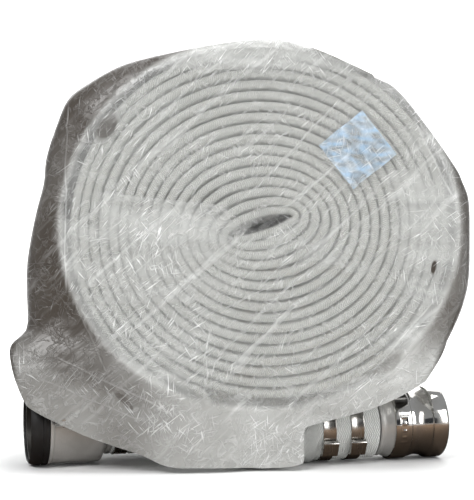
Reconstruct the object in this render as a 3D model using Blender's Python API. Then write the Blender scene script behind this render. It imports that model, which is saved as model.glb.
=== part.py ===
"""A double-rolled lay-flat fire hose with a cam-and-groove coupling pair, in a clear bag.

Metres, +Z up.  +X runs to the male adapter's side, +Y away from the front of the roll.
The origin is the middle of the underside, so the object stands on z = 0.
"""
import math

import bmesh
import bpy
from mathutils import Matrix, Vector

# ---------------------------------------------------------------- driving dimensions
GAP = 0.0003                     # clearance between pieces that touch
ROUND_STEPS = 32                 # sides of a turned piece

# hose
LAY_FLAT_WIDTH = 0.106           # width of the hose when it is flat
STRAND_THICKNESS = 0.0086        # thickness of one flat strand
JACKET_RADIUS = 0.0350           # outer radius where it is round over a shank
JACKET_WALL = 0.0016
LINING_WALL = 0.0014
SHANK_RADIUS = JACKET_RADIUS - JACKET_WALL - LINING_WALL - 2 * GAP
BORE_RADIUS = 0.0285

# roll: two strands wound together from a fold at the eye
ROLL_CENTRE = Vector((0.0215, 0.0, 0.2435))
EYE_HALF_LENGTH = 0.0250         # centre line of the innermost strand, along the eye
EYE_HALF_HEIGHT = 0.0010
EYE_TILT = math.radians(26)
OUTER_HALF_LENGTH = 0.1945       # centre line of the outermost strand
OUTER_HALF_HEIGHT = 0.1862
LAYERS = 17                      # strands between the eye and the outside
FOLD_ANGLE = math.radians(225)   # where the fold is, and where the outer strand leaves
INNER_LEAVES_AFTER = math.radians(20)
STEPS_PER_TURN = 24

# male adapter, on the +X side: its frame is at the end of the jacket, X along its axis
ADAPTER_PLACE = Vector((0.1330, 0.0120, 0.0373))
ADAPTER_YAW = math.radians(14)
ADAPTER_RISE = math.radians(0.5)
ADAPTER_LENGTH = 0.0770
ADAPTER_SHANK = 0.0440
LIP_RADIUS = 0.0379
GROOVE_RADIUS = 0.0343

# female coupler, on the -X side: its frame is at the middle of its mouth, X inwards
COUPLER_PLACE = Vector((-0.2220, -0.0260, 0.0436))
COUPLER_YAW = math.radians(16)
MOUTH_RADIUS = 0.0386
BODY_RADIUS = 0.0425
BUMPER_RADIUS = 0.0435
BUMPER_LENGTH = 0.0190
SEAT_DEPTH = 0.0520
GASKET_THICKNESS = 0.0065
BODY_LENGTH = 0.0760
JACKET_START = 0.0845
COUPLER_SHANK_END = 0.1220

# cam arms
ARM_ROLL = math.radians(75)      # how far the front arm is turned from the top
PIVOT_DEPTH = 0.0330
PIVOT_RADIUS = 0.0475
ARM_WIDTH = 0.0130
ARM_REACH = 0.0720               # from the pivot to the ring's eye
EYE_RISE = 0.0018                # of the ring's eye above the arm's underside
EYE_RADIUS = 0.0056
CAM_RADIUS = 0.0105
PIN_RADIUS = 0.0030
EAR_THICKNESS = 0.0035
RING_RADIUS = 0.0120
RING_WIRE = 0.0014
FRONT_RING_DROOP = math.radians(12)

# clamps
BAND_WIDTH = 0.0140
BAND_THICKNESS = 0.0007
ADAPTER_BANDS = {"male_clamp_outer": -0.0240, "male_clamp_inner": -0.0540}
COUPLER_BANDS = {"female_clamp_outer": 0.0940, "female_clamp_inner": 0.1120}

# bag
FILM = 0.0005
BAG_HALF_DEPTH = 0.0575
BAG_FLARE = 0.0165               # how much the mouth stands out past the roll
LABEL_SIZE = 0.0560
LABEL_PLACE = (0.115, 0.322)
LABEL_TURN = math.radians(52)
BAG_CENTRE = Vector((0.005, 0.225))
BAG_MOUTH = (                    # planes that cut the mouth: a point and the way up
    ((0.0, 0.0, 0.006), (0.39, 0.0, 1.0)),
    ((0.02, 0.0, 0.006), (-0.47, 0.0, 1.0)),
)

BAG_OUTLINE = [
    (0.1930, 0.0700), (0.2130, 0.1275), (0.2270, 0.1600), (0.2330, 0.2000), (0.2330, 0.2600),
    (0.2210, 0.3040), (0.1920, 0.3500), (0.1640, 0.3840), (0.1360, 0.4000), (0.0900, 0.4190),
    (0.0300, 0.4335), (-0.0320, 0.4290), (-0.1190, 0.4100), (-0.1760, 0.3750), (-0.1990, 0.3130),
    (-0.2130, 0.2400), (-0.2200, 0.1700), (-0.2305, 0.1180), (-0.2290, 0.0700), (-0.1500, 0.0020),
    (0.0000, 0.0010), (0.1200, 0.0020),
]


# ---------------------------------------------------------------- helpers
def clear_scene():
    for item in list(bpy.data.objects):
        bpy.data.objects.remove(item, do_unlink=True)


def material(name, colour, roughness, metallic=0.0, alpha=1.0):
    made = bpy.data.materials.new(name)
    made.use_nodes = True
    shader = made.node_tree.nodes["Principled BSDF"]
    shader.inputs["Base Color"].default_value = (*colour, 1.0)
    shader.inputs["Roughness"].default_value = roughness
    shader.inputs["Metallic"].default_value = metallic
    shader.inputs["Alpha"].default_value = alpha
    return made


def add_object(name, mesh_data, surface, parent=None, place=None):
    made = bpy.data.objects.new(name, mesh_data)
    bpy.context.scene.collection.objects.link(made)
    if surface:
        mesh_data.materials.append(surface)
    if parent:
        made.parent = parent
    if place:
        made.matrix_basis = place
    return made


def add_mesh(name, shape, surface, parent=None, place=None, smooth=True):
    """Turn a bmesh into an object whose faces point out."""
    bmesh.ops.recalc_face_normals(shape, faces=shape.faces)
    mesh_data = bpy.data.meshes.new(name)
    shape.to_mesh(mesh_data)
    shape.free()
    if smooth:
        mesh_data.shade_smooth()
        mesh_data.set_sharp_from_angle(angle=math.radians(35))
    return add_object(name, mesh_data, surface, parent, place)


def add_frame(name, place, yaw, rise=0.0):
    frame = bpy.data.objects.new(name, None)
    bpy.context.scene.collection.objects.link(frame)
    turn = Matrix.Rotation(yaw, 4, "Z") @ Matrix.Rotation(-rise, 4, "Y")
    frame.matrix_basis = Matrix.Translation(place) @ turn
    return frame


def turned_shape(profile, steps=ROUND_STEPS):
    """Spin a closed outline of (along the axis, radius) points about the X axis."""
    shape = bmesh.new()
    points = [shape.verts.new((along, 0.0, radius)) for along, radius in profile]
    edges = [shape.edges.new((a, b)) for a, b in zip(points, points[1:] + points[:1])]
    bmesh.ops.spin(shape, geom=points + edges, cent=(0, 0, 0), axis=(1, 0, 0),
                   angle=math.tau, steps=steps, use_merge=False, use_duplicate=False)
    bmesh.ops.remove_doubles(shape, verts=shape.verts, dist=1e-6)
    return shape


def slab_shape(outline, width):
    """Extrude an outline of (x, z) points to a width, centred on y = 0."""
    shape = bmesh.new()
    face = shape.faces.new([shape.verts.new((x, -width / 2, z)) for x, z in outline])
    grown = bmesh.ops.extrude_face_region(shape, geom=[face])
    fresh = [item for item in grown["geom"] if isinstance(item, bmesh.types.BMVert)]
    bmesh.ops.translate(shape, verts=fresh, vec=(0, width, 0))
    return shape


def rod_shape(radius, start, end, sides=16):
    """A round rod along the local Y axis."""
    shape = bmesh.new()
    place = Matrix.Translation((0, (start + end) / 2, 0)) @ Matrix.Rotation(math.pi / 2, 4, "X")
    bmesh.ops.create_cone(shape, cap_ends=True, segments=sides, radius1=radius, radius2=radius,
                          depth=end - start, matrix=place)
    return shape


def boolean(target, other_shape, place, operation):
    """Union or difference with a hidden helper object."""
    helper = add_mesh(target.name + "_" + operation.lower(), other_shape, None,
                      target.parent, place, smooth=False)
    helper.hide_render = True
    helper.display_type = "WIRE"
    step = target.modifiers.new(operation.lower(), "BOOLEAN")
    step.operation = operation
    step.solver = "EXACT"
    step.object = helper


def arc(centre, radius, start, end, count):
    """Points on a round stretch of an outline, angles in degrees."""
    angles = [math.radians(start + (end - start) * k / (count - 1)) for k in range(count)]
    return [(centre[0] + radius * math.cos(a), centre[1] + radius * math.sin(a)) for a in angles]


def smooth_curve(points, per_span, closed=False):
    """Points on a smooth curve through the given ones (Catmull-Rom)."""
    count = len(points)
    spans = count if closed else count - 1
    result = []
    for span in range(spans):
        if closed:
            near = [Vector(points[(span + k) % count]) for k in (-1, 0, 1, 2)]
        else:
            near = [Vector(points[min(max(span + k, 0), count - 1)]) for k in (-1, 0, 1, 2)]
        for step in range(per_span):
            t = step / per_span
            result.append(0.5 * (2 * near[1] + (near[2] - near[0]) * t
                                 + (2 * near[0] - 5 * near[1] + 4 * near[2] - near[3]) * t ** 2
                                 + (3 * near[1] - near[0] - 3 * near[2] + near[3]) * t ** 3))
    if not closed:
        result.append(Vector(points[-1]))
    return result


# ---------------------------------------------------------------- the roll
def roll_point(angle, layer):
    """Centre line of a strand: an ellipse that grows with the layer, tilted at the eye."""
    share = layer / LAYERS
    half_length = EYE_HALF_LENGTH + (OUTER_HALF_LENGTH - EYE_HALF_LENGTH) * share
    half_height = EYE_HALF_HEIGHT + (OUTER_HALF_HEIGHT - EYE_HALF_HEIGHT) * share
    tilt = EYE_TILT * (1 - min(1.0, share * 1.6)) ** 2
    x = half_length * math.cos(angle - tilt)
    z = half_height * math.sin(angle - tilt)
    return ROLL_CENTRE + Vector((x * math.cos(tilt) - z * math.sin(tilt), 0.0,
                                 x * math.sin(tilt) + z * math.cos(tilt)))


def strand(start_layer, turned_by):
    """Points of one strand from the fold outwards; each turn crosses two layers."""
    count = round(turned_by / math.tau * STEPS_PER_TURN)
    points = []
    for step in range(count + 1):
        turn = turned_by * step / count
        points.append(roll_point(FOLD_ANGLE + turn, start_layer + turn / math.pi))
    return points


def roll_line():
    """Centre line of the whole coil, from the outer strand's end to the inner strand's end."""
    outer = strand(1.0, (LAYERS - 1) * math.pi)
    inner = strand(0.0, (LAYERS - 1) * math.pi + INNER_LEAVES_AFTER)
    middle = (outer[0] + inner[0]) / 2
    across = (outer[0] - inner[0]) / 2
    back = (middle - (outer[1] + inner[1]) / 2).normalized() * across.length
    fold = [middle + across * math.cos(a) + back * math.sin(a)
            for a in (math.pi / 4, math.pi / 2, 3 * math.pi / 4)]
    return outer[::-1] + fold + inner


def line_directions(points):
    ahead = points[1:] + [points[-1] * 2 - points[-2]]
    behind = [points[0] * 2 - points[1]] + points[:-1]
    return [(b - a).normalized() for a, b in zip(behind, ahead)]


def bridged_rings(shape, rings):
    """Skin neighbouring rings of vertices."""
    for low, high in zip(rings, rings[1:]):
        for k in range(len(low)):
            nxt = (k + 1) % len(low)
            shape.faces.new((low[k], low[nxt], high[nxt], high[k]))


def make_coil(surface):
    shape = bmesh.new()
    points = roll_line()
    rings = []
    for point, ahead in zip(points, line_directions(points)):
        up = ahead.cross(Vector((0, 1, 0))) * (STRAND_THICKNESS / 2)
        side = Vector((0, LAY_FLAT_WIDTH / 2, 0))
        corners = (point + up + side, point + up - side, point - up - side, point - up + side)
        rings.append([shape.verts.new(corner) for corner in corners])
    bridged_rings(shape, rings)
    shape.faces.new(rings[0])
    shape.faces.new(rings[-1])
    add_mesh("hose_coil", shape, surface, smooth=False)
    return points[0], line_directions(points)[0], points[-1], line_directions(points)[-1]


def tail_stations(route, yaw_end, round_from, round_to, level):
    """Centre, width axis, up axis and share of roundness at each station of a tail.

    Where a tail swells on the floor, level is the direction that its sections face.
    """
    points = smooth_curve(route, 3)
    lengths = [0.0]
    for a, b in zip(points, points[1:]):
        lengths.append(lengths[-1] + (b - a).length)
    stations = []
    for point, ahead, length in zip(points, line_directions(points), lengths):
        along = length / lengths[-1]
        share = min(1.0, max(0.0, (along - round_from) / (round_to - round_from)))
        share = share * share * (3 - 2 * share)
        if level:
            ahead = ahead.lerp(level, min(1.0, share * 6)).normalized()
        yaw = yaw_end * min(1.0, along / round_to)
        if level:
            width = Vector((-ahead.y, ahead.x, 0)).normalized()
        else:
            width = Vector((-math.sin(yaw), math.cos(yaw), 0))
            width = (width - ahead * width.dot(ahead)).normalized()
        stations.append((point, width, width.cross(ahead), share))
    return stations


def make_tail(name, route, yaw_end, pocket, surface, round_from, round_to, level=None):
    """A strand that swells from flat to round, with a pocket for the shank in its end."""
    sides = 16
    shape = bmesh.new()
    rings = []
    stations = tail_stations(route, yaw_end, round_from, round_to, level)
    for point, width, up, share in stations:
        half_width = LAY_FLAT_WIDTH / 2 * (1 - share) + JACKET_RADIUS * share
        half_height = STRAND_THICKNESS / 2 * (1 - share) + JACKET_RADIUS * share
        boxiness = 0.3 + 0.7 * min(1.0, share * 2)
        point.z = max(point.z, half_height)
        ring = []
        for k in range(sides):
            angle = math.tau * (k + 0.5) / sides
            across = math.copysign(abs(math.cos(angle)) ** boxiness, math.cos(angle))
            height = math.copysign(abs(math.sin(angle)) ** boxiness, math.sin(angle))
            spot = point + width * half_width * across + up * half_height * height
            ring.append(shape.verts.new(spot))
        rings.append(ring)
    end, width, up, _ = stations[-1]
    inwards = (stations[-2][0] - end).normalized() * pocket
    for middle in (end, end + inwards):
        ring = []
        for k in range(sides):
            angle = math.tau * (k + 0.5) / sides
            reach = (JACKET_RADIUS - JACKET_WALL) / math.cos(math.pi / sides)
            ring.append(shape.verts.new(middle + width * reach * math.cos(angle)
                                        + up * reach * math.sin(angle)))
        rings.append(ring)
    bridged_rings(shape, rings)
    shape.faces.new(rings[0])
    shape.faces.new(rings[-1])
    add_mesh(name, shape, surface)


def make_hose(surface):
    outer_end, outer_back, inner_end, inner_ahead = make_coil(surface)
    outer_ahead = -outer_back
    female_frame = Matrix.Rotation(COUPLER_YAW, 4, "Z")
    on_shank = [COUPLER_PLACE + female_frame @ Vector((along, 0, 0))
                for along in (COUPLER_SHANK_END + 0.004, COUPLER_SHANK_END - 0.002, 0.1, JACKET_START)]
    female_route = [
        outer_end + outer_ahead * 3 * GAP,
        outer_end + outer_ahead * 0.018,
        (-0.0840, 0.0, 0.0815),
        (-0.0660, 0.0040, 0.0660),
        (-0.0690, 0.0070, 0.0490),
        (-0.0840, 0.0080, 0.0425),
    ]
    female_route += on_shank
    make_tail("hose_tail_female", female_route, COUPLER_YAW, 0.0385, surface, 0.34, 0.70)
    male_frame = Matrix.Rotation(ADAPTER_YAW, 4, "Z") @ Matrix.Rotation(-ADAPTER_RISE, 4, "Y")
    floor = STRAND_THICKNESS / 2
    male_route = [
        inner_end + inner_ahead * 3 * GAP,
        inner_end + inner_ahead * 0.018,
        (-0.0150, 0.0, 0.0360),
        (0.0030, 0.0, 0.0100),
        (0.0180, 0.0, floor),
        (0.0360, 0.0, floor),
        (0.0560, -0.0040, 0.0190),
    ]
    male_route += [ADAPTER_PLACE + male_frame @ Vector((along, 0, 0))
                   for along in (-0.0660, -0.0600, -0.0300, 0.0)]
    make_tail("hose_tail_male", male_route, ADAPTER_YAW, 0.0455, surface, 0.46, 0.675,
              male_frame @ Vector((1, 0, 0)))


def make_lining(name, start, end, frame, surface):
    outer = JACKET_RADIUS - JACKET_WALL - GAP
    inner = outer - LINING_WALL
    ring = [(start, inner), (start, outer), (end, outer), (end, inner)]
    add_mesh(name, turned_shape(ring), surface, frame)


# ---------------------------------------------------------------- couplings
def barbs(start, end, count, pointing):
    """Saw-tooth ridges on a shank, in order from start to end."""
    pitch = (end - start) / count
    low = SHANK_RADIUS - 0.0008
    points = []
    for k in range(count):
        foot = start + pitch * k
        if pointing > 0:
            points += [(foot, SHANK_RADIUS), (foot + pitch * 0.9, low)]
        else:
            points += [(foot + pitch * 0.1, low), (foot + pitch, SHANK_RADIUS)]
    return points


def make_male_adapter(frame, surface):
    lip_start = 0.0590
    profile = [(-ADAPTER_SHANK, BORE_RADIUS)]
    profile += barbs(-ADAPTER_SHANK + 0.0005, -0.0010, 4, -1)
    profile += [
        (0.0025, SHANK_RADIUS - 0.0010), (0.0028, 0.0330), (0.0070, 0.0334), (0.0085, 0.0322),
        (0.0170, 0.0350), (0.0180, 0.0370), (0.0350, 0.0372), (0.0385, 0.0358),
    ]
    profile += [(0.0440, GROOVE_RADIUS), (0.0520, GROOVE_RADIUS), (0.0575, 0.0362)]
    profile += arc((lip_start + 0.003, LIP_RADIUS - 0.002), 0.002, 135, 90, 3)
    profile += arc((ADAPTER_LENGTH - 0.003, LIP_RADIUS - 0.003), 0.003, 90, 0, 4)
    profile += [(ADAPTER_LENGTH, BORE_RADIUS + 0.0025), (ADAPTER_LENGTH - 0.003, BORE_RADIUS)]
    add_mesh("male_adapter", turned_shape(profile), surface, frame)


def arm_place(side):
    """Frame of an arm: X along the coupler, Z away from its axis, Y along the pin."""
    turn = Matrix.Rotation(ARM_ROLL + (math.pi if side == "back" else 0.0), 4, "X")
    return turn @ Matrix.Translation((PIVOT_DEPTH, 0, PIVOT_RADIUS))


def make_coupler_body(frame, surface):
    spigot = BUMPER_RADIUS - 0.0030
    profile = [
        (0.0035, MOUTH_RADIUS), (0.0030, MOUTH_RADIUS + 0.0005), (0.0030, spigot),
        (BUMPER_LENGTH + GAP, spigot), (BUMPER_LENGTH + GAP, BODY_RADIUS - 0.0004),
        (BUMPER_LENGTH + 0.001, BODY_RADIUS), (0.0660, BODY_RADIUS),
    ]
    profile += arc((BODY_LENGTH - 0.004, BODY_RADIUS - 0.004), 0.004, 80, 0, 4)
    profile += [
        (BODY_LENGTH, 0.0335), (0.0790, 0.0335), (0.0792, 0.0350), (0.0835, 0.0350),
        (0.0836, SHANK_RADIUS - 0.0010),
    ]
    profile += barbs(0.0860, COUPLER_SHANK_END - 0.0005, 4, 1)
    profile += [
        (COUPLER_SHANK_END, BORE_RADIUS), (SEAT_DEPTH + 0.001, BORE_RADIUS),
        (SEAT_DEPTH, BORE_RADIUS + 0.001), (SEAT_DEPTH, MOUTH_RADIUS),
    ]
    body = add_mesh("female_coupler", turned_shape(profile), surface, frame)
    ear_outline = [(-0.0095, -0.0065), (0.0095, -0.0065)] + arc((0, 0.0005), 0.0068, -5, 185, 8)
    for side in ("front", "back"):
        for way in (-1, 1):
            offset = Matrix.Translation((0, way * (ARM_WIDTH / 2 + 0.0006 + EAR_THICKNESS / 2), 0))
            boolean(body, slab_shape(ear_outline, EAR_THICKNESS), arm_place(side) @ offset, "UNION")
        half = CAM_RADIUS + 0.0016
        window = [(-half, -0.0140), (half, -0.0140), (half, 0.0010), (-half, 0.0010)]
        boolean(body, slab_shape(window, ARM_WIDTH + 0.0012), arm_place(side), "DIFFERENCE")
        boolean(body, rod_shape(PIN_RADIUS + GAP, -0.02, 0.02), arm_place(side), "DIFFERENCE")


def make_bumper(frame, surface):
    hold = BUMPER_RADIUS - 0.0030 + GAP
    profile = [(0.0, MOUTH_RADIUS + 0.0006), (0.0025, MOUTH_RADIUS + 0.0004), (0.0027, hold)]
    profile += [(BUMPER_LENGTH, hold), (BUMPER_LENGTH, BUMPER_RADIUS - 0.0004)]
    profile += [(BUMPER_LENGTH - 0.001, BUMPER_RADIUS), (0.0080, BUMPER_RADIUS)]
    profile += [(0.0040, BUMPER_RADIUS - 0.0008), (0.0012, BUMPER_RADIUS - 0.0023)]
    add_mesh("mouth_bumper", turned_shape(profile), surface, frame)


def make_gasket(frame, surface):
    start = SEAT_DEPTH - GAP - GASKET_THICKNESS
    end = SEAT_DEPTH - GAP
    inner = BORE_RADIUS + 0.0015
    outer = MOUTH_RADIUS - GAP
    profile = [
        (start, inner + 0.001), (start, outer - 0.001), (start + 0.001, outer), (end, outer),
        (end, inner), (start + 0.001, inner),
    ]
    add_mesh("gasket", turned_shape(profile), surface, frame)


def make_arm(side, frame, surface):
    """A cam head on the pin, a handle back along the coupler and a flat eye at its end."""
    head = arc((0, 0), CAM_RADIUS, 95, 300, 12)
    handle = [
        (0.0095, -0.0030), (0.0150, -0.0012), (0.0300, -0.0004), (0.0560, 0.0000),
        (ARM_REACH - 0.0060, 0.0008),
    ]
    eye = arc((ARM_REACH, EYE_RISE), EYE_RADIUS, -120, 130, 8)
    top = [
        (ARM_REACH - 0.0090, 0.0066), (0.0500, 0.0062), (0.0250, 0.0066), (0.0120, 0.0090),
        (0.0040, 0.0103),
    ]
    name = "cam_arm_" + side
    arm = add_mesh(name, slab_shape(head + handle + eye + top, ARM_WIDTH), surface, frame,
                   arm_place(side))
    place = arm_place(side)
    boolean(arm, rod_shape(PIN_RADIUS + GAP, -0.02, 0.02), place, "DIFFERENCE")
    to_eye = Matrix.Translation((ARM_REACH, 0, EYE_RISE))
    boolean(arm, rod_shape(0.0030, -0.02, 0.02), place @ to_eye, "DIFFERENCE")
    shoulder = [(-0.0085, -0.02), (0.0200, -0.02), (0.0200, 0.02), (-0.0085, 0.02)]
    for way in (-1, 1):
        beside = Matrix.Translation((0, way * (0.0020 + 0.0100), 0))
        boolean(arm, slab_shape(shoulder, 0.0200), place @ to_eye @ beside, "DIFFERENCE")


def make_pin(side, frame, surface):
    reach = ARM_WIDTH / 2 + 0.0006 + EAR_THICKNESS
    pin = rod_shape(PIN_RADIUS, -reach - 0.0010, reach + 2 * GAP)
    head = Matrix.Translation((0, reach + GAP, 0))
    made = add_mesh("cam_pin_" + side, pin, surface, frame, arm_place(side))
    boolean(made, rod_shape(PIN_RADIUS + 0.0015, 0.0, 0.0014), arm_place(side) @ head, "UNION")


def make_ring(side, frame, surface):
    """A finger ring through the arm's eye; its origin is in the eye."""
    lean = -FRONT_RING_DROOP if side == "front" else math.pi / 2
    shape = bmesh.new()
    circle = bmesh.ops.create_circle(shape, segments=6, radius=RING_WIRE)
    stand_up = Matrix.Translation((-RING_RADIUS, 0, 0)) @ Matrix.Rotation(math.pi / 2, 4, "X")
    bmesh.ops.transform(shape, verts=circle["verts"], matrix=stand_up)
    bmesh.ops.spin(shape, geom=shape.verts[:] + shape.edges[:], cent=(0, 0, 0), axis=(0, 0, 1),
                   angle=math.tau, steps=24, use_merge=False, use_duplicate=False)
    bmesh.ops.remove_doubles(shape, verts=shape.verts, dist=1e-6)
    bmesh.ops.translate(shape, verts=shape.verts, vec=(RING_RADIUS, 0, 0))
    eye = Matrix.Translation((ARM_REACH, 0, EYE_RISE))
    place = arm_place(side) @ eye @ Matrix.Rotation(-lean, 4, "Y")
    add_mesh("pull_ring_" + side, shape, surface, frame, place)


def make_clamp(name, along, frame, buckle_angle, surface):
    inner = JACKET_RADIUS + GAP
    outer = inner + BAND_THICKNESS
    start = along - BAND_WIDTH / 2
    end = along + BAND_WIDTH / 2
    ring = [(start, inner), (start, outer), (end, outer), (end, inner)]
    add_mesh(name, turned_shape(ring), surface, frame)
    width = BAND_WIDTH + 0.0025
    outline = [(-0.0085, -0.0005), (0.0085, -0.0005)]
    outline += arc((0.0065, 0.0022), 0.0020, -45, 90, 4) + arc((-0.0060, 0.0020), 0.0025, 90, 200, 5)
    buckle = slab_shape(outline, width)
    turn = Matrix.Rotation(buckle_angle, 4, "X") @ Matrix.Translation((along, 0, outer + 0.0018))
    place = turn @ Matrix.Rotation(math.pi / 2, 4, "Z")
    add_mesh(name + "_buckle", buckle, surface, frame, place)


# ---------------------------------------------------------------- the bag
def bag_half_depth(z):
    """The film lies close to the roll and stands out round the couplings."""
    share = min(1.0, max(0.0, (0.165 - z) / 0.075))
    return BAG_HALF_DEPTH + BAG_FLARE * share * share * (3 - 2 * share)


def make_bag(surface):
    outline = smooth_curve(BAG_OUTLINE, 2, closed=True)
    inset_and_depth = ((0.55, 1.0), (0.975, 1.0), (0.994, 0.97), (1.0, 0.90))
    profile = [(s, -d) for s, d in inset_and_depth] + [(s, d) for s, d in reversed(inset_and_depth)]
    shape = bmesh.new()
    rings = []
    for scale, depth in profile:
        ring = []
        for point in outline:
            spot = BAG_CENTRE + (point - BAG_CENTRE) * scale
            ring.append(shape.verts.new((spot.x, depth * bag_half_depth(spot.y), spot.y)))
        rings.append(ring)
    bridged_rings(shape, rings)
    shape.faces.new(rings[0])
    shape.faces.new(rings[-1])
    bmesh.ops.recalc_face_normals(shape, faces=shape.faces)
    for through, normal in BAG_MOUTH:
        cut = shape.verts[:] + shape.edges[:] + shape.faces[:]
        bmesh.ops.bisect_plane(shape, geom=cut, plane_co=through, plane_no=normal, clear_inner=True)
    bag = add_mesh("poly_bag", shape, surface)
    film = bag.modifiers.new("film", "SOLIDIFY")
    film.thickness = FILM
    film.offset = -1.0


def make_label(surface):
    shape = bmesh.new()
    bmesh.ops.create_cube(shape, size=1.0, matrix=Matrix.Diagonal((LABEL_SIZE, FILM, LABEL_SIZE, 1.0)))
    depth = BAG_HALF_DEPTH + 2 * GAP + FILM / 2
    spot = Matrix.Translation((LABEL_PLACE[0], -depth, LABEL_PLACE[1]))
    place = spot @ Matrix.Rotation(LABEL_TURN, 4, "Y")
    add_mesh("bag_label", shape, surface, place=place, smooth=False)


def build():
    clear_scene()
    woven = material("woven_jacket", (0.80, 0.80, 0.77), 0.85)
    rubber = material("black_rubber", (0.02, 0.02, 0.02), 0.55)
    lining = material("hose_lining", (0.05, 0.05, 0.05), 0.5)
    polished = material("polished_steel", (0.62, 0.61, 0.59), 0.12, 1.0)
    cast = material("cast_alloy", (0.60, 0.60, 0.58), 0.38, 1.0)
    band = material("band_steel", (0.66, 0.66, 0.65), 0.22, 1.0)
    film = material("clear_film", (0.90, 0.91, 0.92), 0.15, 0.0, 0.25)
    tint = material("label_film", (0.72, 0.80, 0.90), 0.3, 0.0, 0.5)

    male = add_frame("male_frame", ADAPTER_PLACE, ADAPTER_YAW, ADAPTER_RISE)
    female = add_frame("female_frame", COUPLER_PLACE, COUPLER_YAW)

    make_hose(woven)
    make_lining("lining_male", -0.0440, 0.0012, male, lining)
    make_lining("lining_female", JACKET_START - 0.0005, COUPLER_SHANK_END, female, lining)
    make_male_adapter(male, polished)
    make_coupler_body(female, cast)
    make_bumper(female, rubber)
    make_gasket(female, rubber)
    for side in ("front", "back"):
        make_arm(side, female, cast)
        make_pin(side, female, polished)
        make_ring(side, female, polished)
    for name, along in ADAPTER_BANDS.items():
        make_clamp(name, along, male, math.radians(118), band)
    for name, along in COUPLER_BANDS.items():
        make_clamp(name, along, female, math.radians(-10), band)
    make_bag(film)
    make_label(tint)


build()
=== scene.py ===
import math

import bmesh
import bpy
from mathutils import Matrix, Vector, noise


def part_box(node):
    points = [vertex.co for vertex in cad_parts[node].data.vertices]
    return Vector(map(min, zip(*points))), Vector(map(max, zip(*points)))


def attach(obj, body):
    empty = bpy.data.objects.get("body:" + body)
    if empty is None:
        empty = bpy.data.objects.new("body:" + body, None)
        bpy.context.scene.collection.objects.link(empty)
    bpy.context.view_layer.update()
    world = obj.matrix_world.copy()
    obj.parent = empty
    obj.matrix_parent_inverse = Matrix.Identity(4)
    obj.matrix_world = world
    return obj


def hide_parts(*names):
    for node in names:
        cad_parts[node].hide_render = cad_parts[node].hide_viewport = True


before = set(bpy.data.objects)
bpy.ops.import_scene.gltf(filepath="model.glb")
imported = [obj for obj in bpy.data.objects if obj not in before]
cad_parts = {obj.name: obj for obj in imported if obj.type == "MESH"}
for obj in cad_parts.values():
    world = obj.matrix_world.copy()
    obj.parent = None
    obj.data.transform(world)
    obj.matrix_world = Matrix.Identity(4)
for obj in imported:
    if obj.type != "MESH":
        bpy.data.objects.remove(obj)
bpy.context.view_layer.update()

# ---------------------------------------------------------------- dimensions, in metres
GAP = 0.0003
LAY_FLAT_WIDTH = 0.106
JACKET_RADIUS = 0.0350
LINING_OUTER = 0.0331
LINING_INNER = 0.0317
SHANK_RADIUS = 0.0314
BORE_RADIUS = 0.0285

ROLL_CENTRE = Vector((0.0215, 0.0, 0.2435))
EYE_HALF_LENGTH = 0.0250
EYE_HALF_HEIGHT = 0.0010
EYE_TILT = math.radians(26)
OUTER_HALF_LENGTH = 0.1945
OUTER_HALF_HEIGHT = 0.1862
LAYERS = 17
FOLD_ANGLE = math.radians(225)
INNER_LEAVES_AFTER = math.radians(20)
STEPS_PER_TURN = 96
FOLD_STEPS = 11
EYE_PUFF = 0.0080                # how far the innermost turn swells into the eye

ADAPTER_PLACE = Vector((0.1330, 0.0120, 0.0373))
ADAPTER_YAW = math.radians(14)
ADAPTER_RISE = math.radians(0.5)
ADAPTER_LENGTH = 0.0770
COUPLER_PLACE = Vector((-0.2220, -0.0260, 0.0436))
COUPLER_YAW = math.radians(16)
MOUTH_RADIUS = 0.0386
BODY_RADIUS = 0.0425
BUMPER_RADIUS = 0.0435
BUMPER_LENGTH = 0.0190
SEAT_DEPTH = 0.0520
BODY_LENGTH = 0.0760
JACKET_START = 0.0845
COUPLER_SHANK_END = 0.1220

ARM_ROLL = math.radians(75)
PIVOT_DEPTH = 0.0330
PIVOT_RADIUS = 0.0475
ARM_WIDTH = 0.0130
ARM_REACH = 0.0720
CAM_RADIUS = 0.0105
PIN_RADIUS = 0.0030
EAR_THICKNESS = 0.0035
RING_RADIUS = 0.0120
RING_WIRE = 0.0014
RING_LEAN = {"front": math.radians(12), "back": math.radians(-90)}

BAND_WIDTH = 0.0140
BAND_THICKNESS = 0.0007
BANDS = {
    "male_clamp_outer": ("male", -0.0240, 118),
    "male_clamp_inner": ("male", -0.0540, 118),
    "female_clamp_outer": ("female", 0.0940, -10),
    "female_clamp_inner": ("female", 0.1120, -10),
}

MALE = (Matrix.Translation(ADAPTER_PLACE) @ Matrix.Rotation(ADAPTER_YAW, 4, "Z")
        @ Matrix.Rotation(-ADAPTER_RISE, 4, "Y"))
FEMALE = Matrix.Translation(COUPLER_PLACE) @ Matrix.Rotation(COUPLER_YAW, 4, "Z")


# ---------------------------------------------------------------- mesh helpers
def add_piece(name, shape, surface, place=None, sharp=35):
    """Turn a bmesh into a smooth-shaded object, its place kept in its mesh."""
    if place:
        bmesh.ops.transform(shape, matrix=place, verts=shape.verts)
    bmesh.ops.recalc_face_normals(shape, faces=shape.faces)
    mesh = bpy.data.meshes.new(name)
    shape.to_mesh(mesh)
    shape.free()
    mesh.shade_smooth()
    mesh.set_sharp_from_angle(angle=math.radians(sharp))
    piece = bpy.data.objects.new(name, mesh)
    bpy.context.scene.collection.objects.link(piece)
    if surface:
        mesh.materials.append(surface)
    return piece


def stand_in(piece, body, slot, *nodes):
    """Let a piece ride on a body in place of CAD nodes; slot, one of the record's finishes, is not used."""
    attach(piece, body)
    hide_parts(*nodes)
    return piece


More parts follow.
